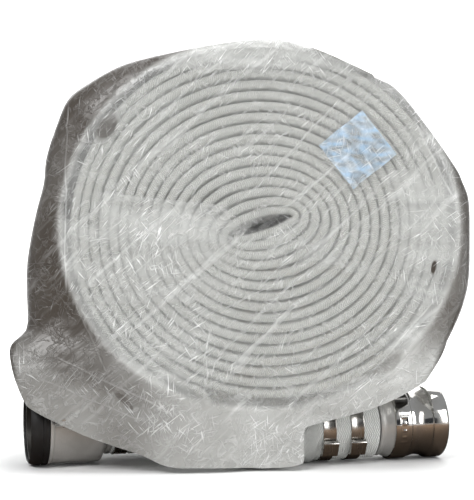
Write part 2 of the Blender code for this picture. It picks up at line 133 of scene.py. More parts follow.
def rounded(outline, steps=4):
    """Round the corners of an outline of (along, radius, rounding) points."""
    result = []
    count = len(outline)
    for k, (along, radius, rounding) in enumerate(outline):
        corner = Vector((along, radius))
        if rounding == 0:
            result.append(corner)
            continue
        before = Vector(outline[k - 1][:2]) - corner
        after = Vector(outline[(k + 1) % count][:2]) - corner
        start = corner + before.normalized() * min(rounding, before.length * 0.48)
        end = corner + after.normalized() * min(rounding, after.length * 0.48)
        for step in range(steps + 1):
            t = step / steps
            result.append(start.lerp(corner, t).lerp(corner.lerp(end, t), t))
    return result


def turned_shape(outline, steps=128, relief=None):
    """Spin a closed outline of (along, radius) points about X; relief adds to the radius."""
    shape = bmesh.new()
    rings = []
    for k in range(steps):
        angle = math.tau * k / steps
        ring = []
        for along, radius in outline:
            reach = radius + (relief(along, radius, angle) if relief else 0.0)
            ring.append(shape.verts.new((along, reach * math.sin(angle), reach * math.cos(angle))))
        rings.append(ring)
    skin(shape, rings + rings[:1])
    return shape


def skin(shape, rings, closed=True):
    """Faces between neighbouring rings of vertices."""
    for low, high in zip(rings, rings[1:]):
        for k in range(len(low) if closed else len(low) - 1):
            nxt = (k + 1) % len(low)
            shape.faces.new((low[k], low[nxt], high[nxt], high[k]))


def slab_shape(outline, width):
    """Extrude an outline of (x, z) points to a width, centred on y = 0."""
    shape = bmesh.new()
    near = [shape.verts.new((x, -width / 2, z)) for x, z in outline]
    far = [shape.verts.new((x, width / 2, z)) for x, z in outline]
    skin(shape, [near, far])
    shape.faces.new(near)
    shape.faces.new(far)
    return shape


def rod_shape(radius, start, end, sides=40):
    """A round rod along Y."""
    circle = [(radius * math.cos(math.tau * k / sides), radius * math.sin(math.tau * k / sides))
              for k in range(sides)]
    shape = slab_shape(circle, end - start)
    bmesh.ops.translate(shape, verts=shape.verts, vec=(0, (start + end) / 2, 0))
    return shape


def arc(centre, radius, start, end, count):
    """Points on an arc in the XZ plane; angles are in degrees."""
    angles = [math.radians(start + (end - start) * k / (count - 1)) for k in range(count)]
    return [(centre[0] + radius * math.cos(a), centre[1] + radius * math.sin(a)) for a in angles]


def settle(piece, helpers=()):
    """Apply a piece's modifiers and remove the helpers that they used."""
    mesh = bpy.data.meshes.new_from_object(piece.evaluated_get(bpy.context.evaluated_depsgraph_get()))
    piece.modifiers.clear()
    piece.data = mesh
    mesh.shade_smooth()
    mesh.set_sharp_from_angle(angle=math.radians(35))
    for helper in helpers:
        bpy.data.objects.remove(helper, do_unlink=True)


def carve(piece, cuts, bevel=0.0):
    """Boolean steps of (operation, shape, place), then a bevel on the sharp edges."""
    helpers = []
    for operation, shape, place in cuts:
        helper = add_piece(piece.name + "_cut", shape, None, place)
        step = piece.modifiers.new(operation, "BOOLEAN")
        step.operation = operation
        step.solver = "EXACT"
        step.object = helper
        helpers.append(helper)
    settle(piece, helpers)
    if bevel:
        step = piece.modifiers.new("bevel", "BEVEL")
        step.width = bevel
        step.segments = 2
        step.limit_method = "ANGLE"
        step.angle_limit = math.radians(40)
        settle(piece)


def smooth_curve(points, per_span):
    """Points on a smooth open curve through the given ones (Catmull-Rom)."""
    last = len(points) - 1
    result = []
    for span in range(last):
        near = [Vector(points[min(max(span + k, 0), last)]) for k in (-1, 0, 1, 2)]
        for step in range(per_span):
            t = step / per_span
            result.append(0.5 * (2 * near[1] + (near[2] - near[0]) * t
                                 + (2 * near[0] - 5 * near[1] + 4 * near[2] - near[3]) * t ** 2
                                 + (3 * near[1] - near[0] - 3 * near[2] + near[3]) * t ** 3))
    result.append(Vector(points[-1]))
    return result


def even_steps(points, spacing):
    """The same open line with points at even steps."""
    lengths = [0.0]
    for a, b in zip(points, points[1:]):
        lengths.append(lengths[-1] + (b - a).length)
    count = max(2, round(lengths[-1] / spacing))
    result = []
    at = 0
    for step in range(count + 1):
        want = lengths[-1] * step / count
        while at < len(lengths) - 2 and lengths[at + 1] < want:
            at += 1
        span = lengths[at + 1] - lengths[at]
        result.append(points[at].lerp(points[at + 1], (want - lengths[at]) / span))
    return result


def smoothstep(low, high, value):
    """From 0 to 1 with soft ends as the value goes from low to high; low may be the larger."""
    share = min(1.0, max(0.0, (value - low) / (high - low)))
    return share * share * (3 - 2 * share)


# ---------------------------------------------------------------- material helpers
def feed(tree, socket, value):
    """Link a value into a socket, or set it as the socket's own."""
    if isinstance(value, bpy.types.NodeSocket):
        tree.links.new(value, socket)
    elif isinstance(value, tuple) and len(value) == 3 and socket.type == "RGBA":
        socket.default_value = (*value, 1.0)
    else:
        socket.default_value = value


def node(tree, kind, inputs=None, **settings):
    """A shader node with its settings and its fed inputs."""
    made = tree.nodes.new("ShaderNode" + kind)
    for key, value in settings.items():
        setattr(made, key, value)
    for key, value in (inputs or {}).items():
        feed(tree, made.inputs[key], value)
    return made


def calc(tree, operation, first, second=0.0, clamp=False):
    """One step of arithmetic on shader values."""
    made = node(tree, "Math", {0: first, 1: second}, operation=operation, use_clamp=clamp)
    return made.outputs[0]


def times(tree, first, second):
    return calc(tree, "MULTIPLY", first, second)


def plus(tree, first, second, clamp=False):
    return calc(tree, "ADD", first, second, clamp)


def highest(tree, first, second):
    return calc(tree, "MAXIMUM", first, second)


def span(tree, value, low, high, to_low=0.0, to_high=1.0):
    """A shader value carried from one range to another, and kept in it."""
    inputs = {"Value": value, "From Min": low, "From Max": high, "To Min": to_low, "To Max": to_high}
    return node(tree, "MapRange", inputs).outputs[0]


def mixed(tree, factor, first, second):
    """A blend of two colours."""
    return node(tree, "Mix", {0: factor, 6: first, 7: second}, data_type="RGBA").outputs[2]


def noise_of(tree, where, scale, detail=2.0, distortion=0.0):
    inputs = {"Vector": where, "Scale": scale, "Detail": detail, "Distortion": distortion}
    return node(tree, "TexNoise", inputs).outputs[0]


def stretched(tree, where, scale, lean=0.0, middle=(0.0, 0.0, 0.0)):
    """Places taken from a middle, turned in the XZ plane so that X rises by lean degrees, then scaled."""
    inputs = {"Vector": where, "Location": middle, "Rotation": (0.0, -math.radians(lean), 0.0),
              "Scale": tuple(1 / share for share in scale)}
    return node(tree, "Mapping", inputs, vector_type="TEXTURE").outputs[0]


def bumped(tree, height, strength, distance, normal=None):
    inputs = {"Height": height, "Strength": strength, "Distance": distance}
    if normal:
        inputs["Normal"] = normal
    return node(tree, "Bump", inputs).outputs[0]


def start_material(name, **values):
    """A material with its node tree and its Principled shader."""
    made = bpy.data.materials.new(name)
    made.use_nodes = True
    tree = made.node_tree
    shader = tree.nodes["Principled BSDF"]
    for key, value in values.items():
        feed(tree, shader.inputs[key.replace("_", " ")], value)
    return made, tree, shader


def object_place(tree):
    """Where a point of the surface is, in metres: the pieces keep their places in their meshes."""
    return node(tree, "TexCoord").outputs["Object"]


# ---------------------------------------------------------------- materials
ZIGZAGS = 135.0                  # herringbone bands per metre across the hose
RIBS = 500.0                     # and ribs per metre along it
YARNS = 800.0                    # and yarns per metre across it
# the thread's colour where the weave is low: painted shade
THREAD_IN_PAINTED_SHADE = (0.27, 0.275, 0.26)
THREAD_HIGH = (0.84, 0.845, 0.815)
HANDLED = (0.46, 0.46, 0.43)
EYE_PAINTED_SHADE = (0.012, 0.012, 0.011)


def eye_shade(tree, where):
    """Painted shade deep in the eye: thick at its lower left, thin at its upper right."""
    deep = node(tree, "Attribute", attribute_name="deep").outputs["Fac"]
    thick_end = spot_mask(tree, where, (0.0130, 0.2405), 0.0140, 0.0085, 18.0)
    thin_end = spot_mask(tree, where, (0.0330, 0.2510), 0.0300, 0.0050, 28.0)
    return times(tree, deep, span(tree, highest(tree, thick_end, thin_end), 0.0, 1.0, 0.45, 1.0))


def woven_material():
    """Circular-woven polyester: a fine herringbone with painted shade where the weave is low, soft grey
    handling marks, and painted shade deep in the eye.
    """
    made, tree, shader = start_material("woven_jacket", Roughness=0.82, Sheen_Weight=0.25)
    weave = node(tree, "SeparateXYZ", {0: node(tree, "UVMap", uv_map="weave").outputs[0]})
    across, along = weave.outputs[0], weave.outputs[1]
    where = object_place(tree)
    uneven = times(tree, noise_of(tree, where, 160.0, 3.0), 1.1)
    zigzag = calc(tree, "PINGPONG", times(tree, across, ZIGZAGS), 1.0)
    slope = plus(tree, times(tree, along, RIBS), times(tree, zigzag, 1.6))
    ribs = calc(tree, "PINGPONG", plus(tree, slope, uneven), 0.5)
    yarns = calc(tree, "PINGPONG", times(tree, across, YARNS), 0.5)
    height = plus(tree, times(tree, ribs, 1.4), times(tree, yarns, 0.6))
    marks = span(tree, noise_of(tree, where, 26.0, 4.0), 0.42, 0.72)
    # painted shade: the thread is darker where the weave is low
    thread_and_groove_shade = mixed(tree, span(tree, height, 0.10, 0.85), THREAD_IN_PAINTED_SHADE, THREAD_HIGH)
    worn = mixed(tree, times(tree, marks, 0.35), thread_and_groove_shade, HANDLED)
    # painted shade: the deep parts of the eye are darkened in the colour
    feed(tree, shader.inputs["Base Color"], mixed(tree, eye_shade(tree, where), worn, EYE_PAINTED_SHADE))
    feed(tree, shader.inputs["Normal"], bumped(tree, height, 0.95, 0.0008))
    return made


def metal_material(name, colour, dull, smooth, rough, grain_scale, grain_depth,
                   stretch=(1.0, 1.0, 1.0), bare=1.0):
    """Metal whose gloss and fine relief vary over the surface; bare is less where it is oxidised."""
    made, tree, shader = start_material(name, Metallic=bare)
    where = object_place(tree)
    clouds = noise_of(tree, where, 38.0, 4.0)
    grain = noise_of(tree, stretched(tree, where, stretch), grain_scale, 3.0)
    feed(tree, shader.inputs["Base Color"], mixed(tree, span(tree, clouds, 0.35, 0.7), colour, dull))
    gloss = span(tree, plus(tree, clouds, grain), 0.75, 1.25, smooth, rough)
    feed(tree, shader.inputs["Roughness"], gloss)
    feed(tree, shader.inputs["Normal"], bumped(tree, grain, 0.5, grain_depth))
    return made


def rubber_material(name, colour, roughness):
    """Dull rubber with fine pores and patches of dust."""
    made, tree, shader = start_material(name)
    where = object_place(tree)
    dust = span(tree, noise_of(tree, where, 60.0, 5.0), 0.50, 0.9)
    pores = noise_of(tree, where, 900.0, 2.0)
    feed(tree, shader.inputs["Base Color"], mixed(tree, dust, colour, tuple(c * 2.0 + 0.008 for c in colour)))
    feed(tree, shader.inputs["Roughness"], span(tree, dust, 0.0, 1.0, roughness, roughness + 0.2))
    feed(tree, shader.inputs["Normal"], bumped(tree, pores, 0.35, 0.0003))
    return made


STROKES = [                      # glints in the film: lean, fineness along and across, how sparse
    (8.0, 45.0, 650.0, 0.67, 20.0, 0.52),
    (36.0, 45.0, 760.0, 0.64, 15.0, 0.47),
    (52.0, 60.0, 700.0, 0.64, 12.0, 0.49),
    (74.0, 50.0, 800.0, 0.64, 17.0, 0.50),
    (-54.0, 55.0, 740.0, 0.65, 14.0, 0.50),
    (-82.0, 55.0, 720.0, 0.65, 19.0, 0.51),
    (-28.0, 60.0, 780.0, 0.66, 21.0, 0.53),
]
# the white of creased film, also used for painted glints
CREASE_WHITE_AND_GLINT = (0.93, 0.93, 0.92)
CLEAR_TINT = (0.955, 0.955, 0.945)
GLOSS_TINT = (0.95, 0.95, 0.95)
PLEAT_ENDS = 0.012               # over how much of its length a pleat fades out
FRONT_FILM = -0.02               # marks given one by one are drawn only in front of this y


def strokes(tree, where, lean, along, across, low, mask_scale, mask_low):
    """Broken straight glints, as where crumpled film is folded sharply; lean is in degrees."""
    drawn = stretched(tree, where, (along, 20.0, across), lean)
    lines = span(tree, noise_of(tree, drawn, 1.0, 1.0), low, low + 0.06)
    mask = span(tree, noise_of(tree, where, mask_scale, 2.0), mask_low, mask_low + 0.10)
    return times(tree, lines, mask)


def spot_mask(tree, where, middle, half_length, half_width, lean):
    """A soft-edged ellipse on the front, its long axis rising by lean degrees."""
    centre = (middle[0], 0.0, middle[1])
    inside = stretched(tree, where, (1 / half_length, 0.01, 1 / half_width), lean, centre)
    reach = node(tree, "VectorMath", {0: inside}, operation="LENGTH").outputs["Value"]
    y = node(tree, "SeparateXYZ", {0: where}).outputs[1]
    return times(tree, span(tree, reach, 0.65, 1.15, 1.0, 0.0), calc(tree, "LESS_THAN", y, FRONT_FILM))


def warped(tree, where, scale, amount):
    """Places pushed about by noise, so that what is drawn on them isn't regular."""
    push = node(tree, "TexNoise", {"Vector": where, "Scale": scale, "Detail": 2.0}).outputs[1]
    centred = node(tree, "VectorMath", {0: push, 1: (0.5, 0.5, 0.5)}, operation="SUBTRACT").outputs[0]
    moved = node(tree, "VectorMath", {0: centred, 3: amount}, operation="SCALE").outputs[0]
    return node(tree, "VectorMath", {0: where, 1: moved}, operation="ADD").outputs[0]


def pleat_line(tree, where, start, end, width):
    """A straight sharp fold in the front film, between two places in the XZ plane."""
    start, end = Vector(start), Vector(end)
    way = (end - start).normalized()
    length = (end - start).length
    parts = node(tree, "SeparateXYZ", {0: where})
    x, y, z = (parts.outputs[k] for k in range(3))
    over = plus(tree, times(tree, x, way.x), times(tree, z, way.y))
    over = calc(tree, "SUBTRACT", over, way.dot(start))
    aside = calc(tree, "SUBTRACT", times(tree, x, way.y), times(tree, z, way.x))
    aside = calc(tree, "ABSOLUTE", calc(tree, "SUBTRACT", aside, start.x * way.y - start.y * way.x))
    line = span(tree, aside, width * 0.35, width, 1.0, 0.0)
    starts = span(tree, over, 0.0, PLEAT_ENDS)
    stops = span(tree, over, length - PLEAT_ENDS, length, 1.0, 0.0)
    front = calc(tree, "LESS_THAN", y, FRONT_FILM)
    return times(tree, times(tree, line, times(tree, starts, stops)), front)


def film_creases(tree, pushed, pushed_little, pleats):
    """Short straight glints in clusters, and the long folds listed in pleats."""
    creases = 0.0
    for stroke in STROKES:
        creases = highest(tree, creases, strokes(tree, pushed, *stroke))
    for start, end, width, strength in pleats:
        fold = pleat_line(tree, pushed_little, start, end, width)
        creases = highest(tree, creases, times(tree, fold, strength))
    return creases


def film_crinkle(tree, where):
    """Fine curled lines all over crumpled film."""
    off_middle = calc(tree, "SUBTRACT", noise_of(tree, where, 75.0, 4.0, 0.8), 0.5)
    return span(tree, calc(tree, "ABSOLUTE", off_middle), 0.0, 0.035, 1.0, 0.0)


def film_edge(tree, where, shades):
    """How dark the film is: the mesh's own value (painted shade on the bag, a deeper tint on the label), and
    the painted shade of the dips listed in shades.
    """
    edge = node(tree, "Attribute", attribute_name="edge").outputs["Fac"]
    for middle, half_length, half_width, lean, amount in shades:
        dip = spot_mask(tree, where, middle, half_length, half_width, lean)
        edge = highest(tree, edge, times(tree, dip, amount))
    return edge


def film_material(name, veil_colour, shade_and_tint_colour, clear_share, pleats=(), shades=()):
    """Thin polythene: clear between milky patches, white where it is creased (whitened film with painted
    glints), and towards its second colour where edge is high (painted shade on the bag, a deeper tint on the
    label).
    """
    made, tree, shader = start_material(name, Roughness=0.34, Specular_IOR_Level=0.55)
    where = object_place(tree)
    pushed = warped(tree, where, 13.0, 0.016)
    pushed_little = warped(tree, where, 30.0, 0.0050)
    level = stretched(tree, pushed, (0.30, 1.0, 1.35), -8.0)
    slanted = stretched(tree, pushed, (0.30, 1.0, 1.35), 42.0)
    creases = film_creases(tree, pushed, pushed_little, pleats)
    crinkle = film_crinkle(tree, pushed_little)
    edge = film_edge(tree, pushed_little, shades)
    patches = span(tree, noise_of(tree, level, 24.0, 4.0, 0.6), 0.40, 0.70)
    streaks = span(tree, noise_of(tree, stretched(tree, slanted, (0.3, 1.0, 2.0)), 60.0, 3.0), 0.56, 0.80)
    facing = node(tree, "LayerWeight", {"Blend": 0.35}).outputs["Facing"]

    haze = node(tree, "Attribute", attribute_name="haze").outputs["Fac"]
    veil = times(tree, haze, span(tree, patches, 0.0, 1.0, 0.70, 1.25))
    veil = plus(tree, veil, clear_share)
    for mark, weight in ((streaks, 0.26), (creases, 0.34), (crinkle, 0.10), (edge, 0.62)):
        veil = plus(tree, veil, times(tree, mark, weight))
    veil = plus(tree, veil, times(tree, calc(tree, "POWER", facing, 2.0), 0.35), True)

    relief = plus(tree, times(tree, creases, 0.5), noise_of(tree, slanted, 70.0, 3.0))
    folds = bumped(tree, plus(tree, relief, times(tree, crinkle, 0.35)), 0.8, 0.0016)
    # painted glints: white mixed into the colour along creases, streaks and crinkles, partly the whitening of
    # creased film
    whitening_and_glint = highest(tree, creases, times(tree, streaks, 0.5))
    whitening_and_glint = highest(tree, whitening_and_glint, times(tree, crinkle, 0.26))
    whitening_and_glint = times(tree, whitening_and_glint, span(tree, edge, 0.15, 0.95, 0.85, 0.22))
    # painted shade on the bag, a deeper tint on the label: the colour goes to the second one where edge is
    # high
    milky = mixed(tree, edge, veil_colour, shade_and_tint_colour)
    feed(tree, shader.inputs["Base Color"], mixed(tree, whitening_and_glint, milky, CREASE_WHITE_AND_GLINT))
    feed(tree, shader.inputs["Normal"], folds)

    clear = node(tree, "BsdfTransparent", {"Color": CLEAR_TINT})
    gloss = node(tree, "BsdfGlossy", {"Color": GLOSS_TINT, "Roughness": 0.18, "Normal": folds})
    shine = plus(tree, times(tree, facing, 0.30), 0.045)
    thin = node(tree, "MixShader", {0: shine, 1: clear.outputs[0], 2: gloss.outputs[0]})
    both = node(tree, "MixShader", {0: veil, 1: thin.outputs[0], 2: shader.outputs[0]})
    feed(tree, tree.nodes["Material Output"].inputs["Surface"], both.outputs[0])
    return made


def stage_material(name, colour):
    """Matt studio paper, very slightly uneven."""
    made, tree, shader = start_material(name, Roughness=0.9)
    mottle = noise_of(tree, object_place(tree), 3.0, 2.0)
    darker = tuple(c * 0.985 for c in colour)
    feed(tree, shader.inputs["Base Color"], mixed(tree, mottle, colour, darker))
    return made


# ---------------------------------------------------------------- camera, light and stage
CAMERA_PLACE = Vector((-0.006, -1.25, 0.2215))
FOCAL_LENGTH = 85.68
SENSOR = 36.0


def add_area(name, place, target, width, height, power, colour=(1.0, 1.0, 1.0)):
    """A rectangular lamp aimed at a target."""
    data = bpy.data.lights.new(name, "AREA")
    data.shape = "RECTANGLE"
    data.size = width
    data.size_y = height
    data.energy = power
    data.color = colour
    lamp = bpy.data.objects.new(name, data)
    lamp.location = place
    lamp.rotation_euler = (Vector(target) - Vector(place)).to_track_quat("-Z", "Y").to_euler()
    bpy.context.scene.collection.objects.link(lamp)


def add_card(name, across, away, bottom, top, colour, shaded=None):
    """A dark studio card that only reflections see, as bare metal needs something to mirror."""
    shape = bmesh.new()
    corners = ((across[0], away[0], bottom), (across[1], away[0], bottom), (across[1], away[1], top),
               (across[0], away[1], top))
    shape.faces.new([shape.verts.new(corner) for corner in corners])
    paper = stage_material(name + "_paper", colour)
    if shaded:
        # painted shade: the card grows darker towards the object and under it
        near_from, near_to, near_colour = shaded
        tree = paper.node_tree
        y = node(tree, "SeparateXYZ", {0: object_place(tree)}).outputs[1]
        graded = mixed(tree, span(tree, y, near_from, near_to), colour, near_colour)
        feed(tree, tree.nodes["Principled BSDF"].inputs["Base Color"], graded)
    card = add_piece(name, shape, paper)
    card.visible_camera = False
    card.visible_diffuse = False
    card.visible_transmission = False
    card.visible_shadow = False


def add_studio():
    """The camera in front, a white floor with a far wall, lamps, dark cards and the sky."""
    data = bpy.data.cameras.new("camera")
    data.lens = FOCAL_LENGTH
    data.sensor_width = SENSOR
    camera = bpy.data.objects.new("camera", data)
    camera.location = CAMERA_PLACE
    camera.rotation_euler = (math.radians(90), 0.0, 0.0)
    bpy.context.scene.collection.objects.link(camera)
    bpy.context.scene.camera = camera

    shape = bmesh.new()
    half = 3.6
    wall_foot, wall_bend, wall_top = 2.7, 0.7, 3.6
    bend = [(-half, 0.0), (wall_foot, 0.0)]
    bend += [(wall_foot + wall_bend * math.sin(a), wall_bend - wall_bend * math.cos(a))
             for a in (math.pi / 2 * k / 12 for k in range(1, 13))]
    bend += [(wall_foot + wall_bend, wall_top)]
    rings = [[shape.verts.new((x, y, z - 0.0002)) for y, z in bend] for x in (-half, half)]
    skin(shape, rings, closed=False)
    sweep = add_piece("studio_sweep", shape, stage_material("studio_paper", (0.93, 0.93, 0.925)))

    middle = (0.0, 0.0, 0.22)
    add_area("key", (-0.9, -1.5, 1.5), middle, 0.8, 0.8, 26.0)
    add_area("fill", (1.5, -1.2, 0.7), middle, 0.5, 1.2, 11.0)
    add_area("top", (0.2, -0.1, 1.8), middle, 1.4, 0.9, 22.0)
    add_area("back", (0.0, 1.5, 1.3), (0.0, 1.0, 0.0), 2.6, 1.2, 18.0)
    add_area("wall", (0.0, 1.9, 1.8), (0.0, 3.4, 0.4), 3.0, 0.6, 75.0)
    add_card("front_card", (-0.9, 0.9), (-1.15, 0.50), 0.0004, 0.0004, (0.230, 0.145, 0.085),
             (-0.22, 0.02, (0.040, 0.029, 0.021)))
    add_card("middle_card", (-1.3, 1.3), (-1.75, -1.75), 0.02, 0.62, (0.020, 0.022, 0.026))
    world = bpy.data.worlds.new("studio")
    world.use_nodes = True
    background = world.node_tree.nodes["Background"]
    background.inputs["Color"].default_value = (0.86, 0.88, 0.90, 1.0)
    background.inputs["Strength"].default_value = 0.45
    bpy.context.scene.world = world
    bpy.context.scene.view_settings.view_transform = "Standard"


# ---------------------------------------------------------------- the hose
BEAD_STEPS = 6
WALL_STEPS = 10
EDGE_HALF = 0.00422              # half thickness at the folded edges
MIDDLE_HALF = 0.00375            # and between them
LAYER_LENGTH = (OUTER_HALF_LENGTH - EYE_HALF_LENGTH) / LAYERS
LAYER_HEIGHT = (OUTER_HALF_HEIGHT - EYE_HALF_HEIGHT) / LAYERS
FLOOR_CLEARANCE = 0.0001
TOUCH_GAP = 0.0005               # what neighbouring turns keep between them inside the roll
FREE_STEPS = 40                  # over which the strands' wander starts and ends


def roll_point(angle, layer):
    """A point of the roll at an angle and a layer: layers are ellipses, tilted near the eye."""
    share = layer / LAYERS
    half_length = EYE_HALF_LENGTH + (OUTER_HALF_LENGTH - EYE_HALF_LENGTH) * share
    half_height = EYE_HALF_HEIGHT + (OUTER_HALF_HEIGHT - EYE_HALF_HEIGHT) * share
    tilt = EYE_TILT * (1 - min(1.0, share * 1.6)) ** 2
    x = half_length * math.cos(angle - tilt)
    z = half_height * math.sin(angle - tilt)
    return ROLL_CENTRE + Vector((x * math.cos(tilt) - z * math.sin(tilt), 0.0,
                                 x * math.sin(tilt) + z * math.cos(tilt)))


def slack(angle, layer):
    """How far the outer turns stand off where the roll is loose."""
    turn = angle % math.tau
    upper_left = math.exp(-((turn - math.radians(140)) / 0.55) ** 2)
    lower_right = math.exp(-((turn - math.radians(318)) / 0.45) ** 2)
    looseness = smoothstep(12.0, 16.0, layer) * (1 - smoothstep(16.3, 16.9, layer))
    return (0.0035 * upper_left + 0.0030 * lower_right) * looseness


def strand(start_layer, turned_by):
    """One of the two strands side by side, from the fold outwards."""
    count = round(turned_by / math.tau * STEPS_PER_TURN)
    points = []
    for step in range(count + 1):
        turn = turned_by * step / count
        angle = FOLD_ANGLE + turn
        layer = start_layer + turn / math.pi
        point = roll_point(angle, layer)
        outwards = (point - ROLL_CENTRE).normalized()
        free = min(1.0, step / FREE_STEPS, (count - step) / FREE_STEPS)
        wander = 0.00022 * noise.noise(Vector((angle * 2.3, layer * 7.1, 3.0)))
        points.append(point + outwards * (slack(angle, layer) + wander) * free)
    return points


def roll_line():
    """The roll's middle line: in along the outer strand, round the fold, out along the inner."""
    outer = strand(1.0, (LAYERS - 1) * math.pi)
    inner = strand(0.0, (LAYERS - 1) * math.pi + INNER_LEAVES_AFTER)
    middle = (outer[0] + inner[0]) / 2
    across = (outer[0] - inner[0]) / 2
    back = (middle - (outer[1] + inner[1]) / 2).normalized() * across.length
    fold = [middle + across * math.cos(a) + back * math.sin(a)
            for a in (math.pi * k / (FOLD_STEPS + 1) for k in range(1, FOLD_STEPS + 1))]
    return outer[::-1] + fold + inner


def directions(points):
    """The direction of travel at each point of a line."""
    ahead = points[1:] + [points[-1] * 2 - points[-2]]
    behind = [points[0] * 2 - points[1]] + points[:-1]
    return [(b - a).normalized() for a, b in zip(behind, ahead)]


def tail_stations(route, yaw_end, round_from, round_to, level):
    """Centre, travel direction, width axis and roundness along a tail, from the roll outwards."""
    points = smooth_curve(route, 12)
    lengths = [0.0]
    for a, b in zip(points, points[1:]):
        lengths.append(lengths[-1] + (b - a).length)
    stations = []
    for point, ahead, length in zip(points, directions(points), lengths):
        along = length / lengths[-1]
        share = smoothstep(round_from, round_to, along)
        if level:
            ahead = ahead.lerp(level, min(1.0, share * 6)).normalized()
            width = Vector((-ahead.y, ahead.x, 0)).normalized()
        else:
            yaw = yaw_end * min(1.0, along / round_to)
            width = Vector((-math.sin(yaw), math.cos(yaw), 0))
            width = (width - ahead * width.dot(ahead)).normalized()
        stations.append((point, ahead, width, share))
    return stations


def flat_section():
    """Half of the flat section as (across, height), from the +X edge's underside to the -X one's top."""
    reach = LAY_FLAT_WIDTH / 2 - EDGE_HALF
    points = []
    for step in range(BEAD_STEPS):
        angle = math.pi * (step / BEAD_STEPS - 0.5)
        points.append((reach + EDGE_HALF * math.cos(angle), EDGE_HALF * math.sin(angle)))
    for step in range(WALL_STEPS):
        share = step / WALL_STEPS
        pinch = (math.sin(math.pi * share)) ** 0.5
        points.append((reach * (1 - 2 * share), EDGE_HALF + (MIDDLE_HALF - EDGE_HALF) * pinch))
    return points


def whole_section():
    """The closed section with each point's distance along its outline."""
    half = flat_section()
    points = [Vector(p) for p in half] + [Vector((-x, -z)) for x, z in half]
    lengths = [0.0]
    for a, b in zip(points, points[1:] + points[:1]):
        lengths.append(lengths[-1] + (b - a).length)
    return points, lengths


def hose_stations():
    """Centre, direction, width axis, roundness, swell into the eye and fullness, along the hose."""
    coil = roll_line()
    aheads = directions(coil)
    outer_ahead = -aheads[0]
    inner_ahead = aheads[-1]
    female_route = [
        coil[0],
        coil[0] + outer_ahead * 0.018,
        (-0.0840, 0.0, 0.0815),
        (-0.0660, 0.0040, 0.0660),
        (-0.0690, 0.0070, 0.0490),
        (-0.0840, 0.0080, 0.0425),
    ]
    female_route += [FEMALE @ Vector((along, 0, 0)) for along in (0.1260, 0.1200, 0.1000, JACKET_START)]
    male_route = [
        coil[-1],
        coil[-1] + inner_ahead * 0.018,
        (-0.0150, 0.0, 0.0360),
        (0.0030, 0.0, 0.0100),
        (0.0180, 0.0, 0.0043),
        (0.0360, 0.0, 0.0043),
        (0.0560, -0.0040, 0.0190),
    ]
    male_route += [MALE @ Vector((along, 0, 0)) for along in (-0.0660, -0.0600, -0.0300, 0.0)]
    female_tail = tail_stations(female_route, COUPLER_YAW, 0.34, 0.70, None)
    male_tail = tail_stations(male_route, ADAPTER_YAW, 0.46, 0.675, MALE.to_3x3() @ Vector((1, 0, 0)))
    stations = [(p, -ahead, width, share, 0.0, 0.0) for p, ahead, width, share in reversed(female_tail)][:-1]
    fold = round((LAYERS - 1) / 2 * STEPS_PER_TURN) + FOLD_STEPS // 2
    for k, (point, ahead) in enumerate(zip(coil, aheads)):
        turns = (k - fold) / STEPS_PER_TURN
        puffed = smoothstep(1.15, 0.75, turns) * smoothstep(-0.10, 0.02, turns)
        pressed = smoothstep(8, 30, min(k, len(coil) - 1 - k)) * smoothstep(9, 20, abs(k - fold))
        stations.append((point, ahead, Vector((0, 1, 0)), 0.0, EYE_PUFF * puffed, pressed))
    stations += [(p, ahead, width, share, 0.0, 0.0) for p, ahead, width, share in male_tail[1:]]
    return stations


def hose_ring(shape, deep, section, rounds, station, along):
    """The vertices of one section, between the flat outline and the round one."""
    point, ahead, width, share, puff, pressed = station
    up = width.cross(ahead)
    pitch = LAYER_LENGTH + (LAYER_HEIGHT - LAYER_LENGTH) * abs(up.z)
    fuller = (pitch / 2 - TOUCH_GAP - MIDDLE_HALF) * pressed
    lift = JACKET_RADIUS * share + MIDDLE_HALF * (1 - share)
    centre = Vector((point.x, point.y, max(point.z, lift)))
    drift = 0.0011 * noise.noise(Vector((along * 9.0, 0.3, 0.7))) * (1 - share)
    swell = 1 + 0.035 * noise.noise(Vector((along * 31.0, 5.1, 0.2)))
    ring = []
    for flat, full in zip(section, rounds):
        across = (flat.x * (1 - share) + full.x * share) + drift
        height = flat.y * swell * (1 - share) + full.y * share
        height += math.copysign(fuller * smoothstep(0.047, 0.032, abs(flat.x)), flat.y)
        if flat.y < 0:
            height -= puff * max(0.0, 1 - (flat.x / 0.040) ** 2) ** 0.7
        spot = centre + width * across + up * height
        spot.z = max(spot.z, FLOOR_CLEARANCE)
        vertex = shape.verts.new(spot)
        # the mask of the painted eye shade, on the swollen underside of the innermost turn
        if flat.y < 0 and puff > 0:
            vertex[deep] = min(1.0, puff / EYE_PUFF * 2) * smoothstep(0.0530, 0.0495, abs(flat.x))
        ring.append(vertex)
    return ring


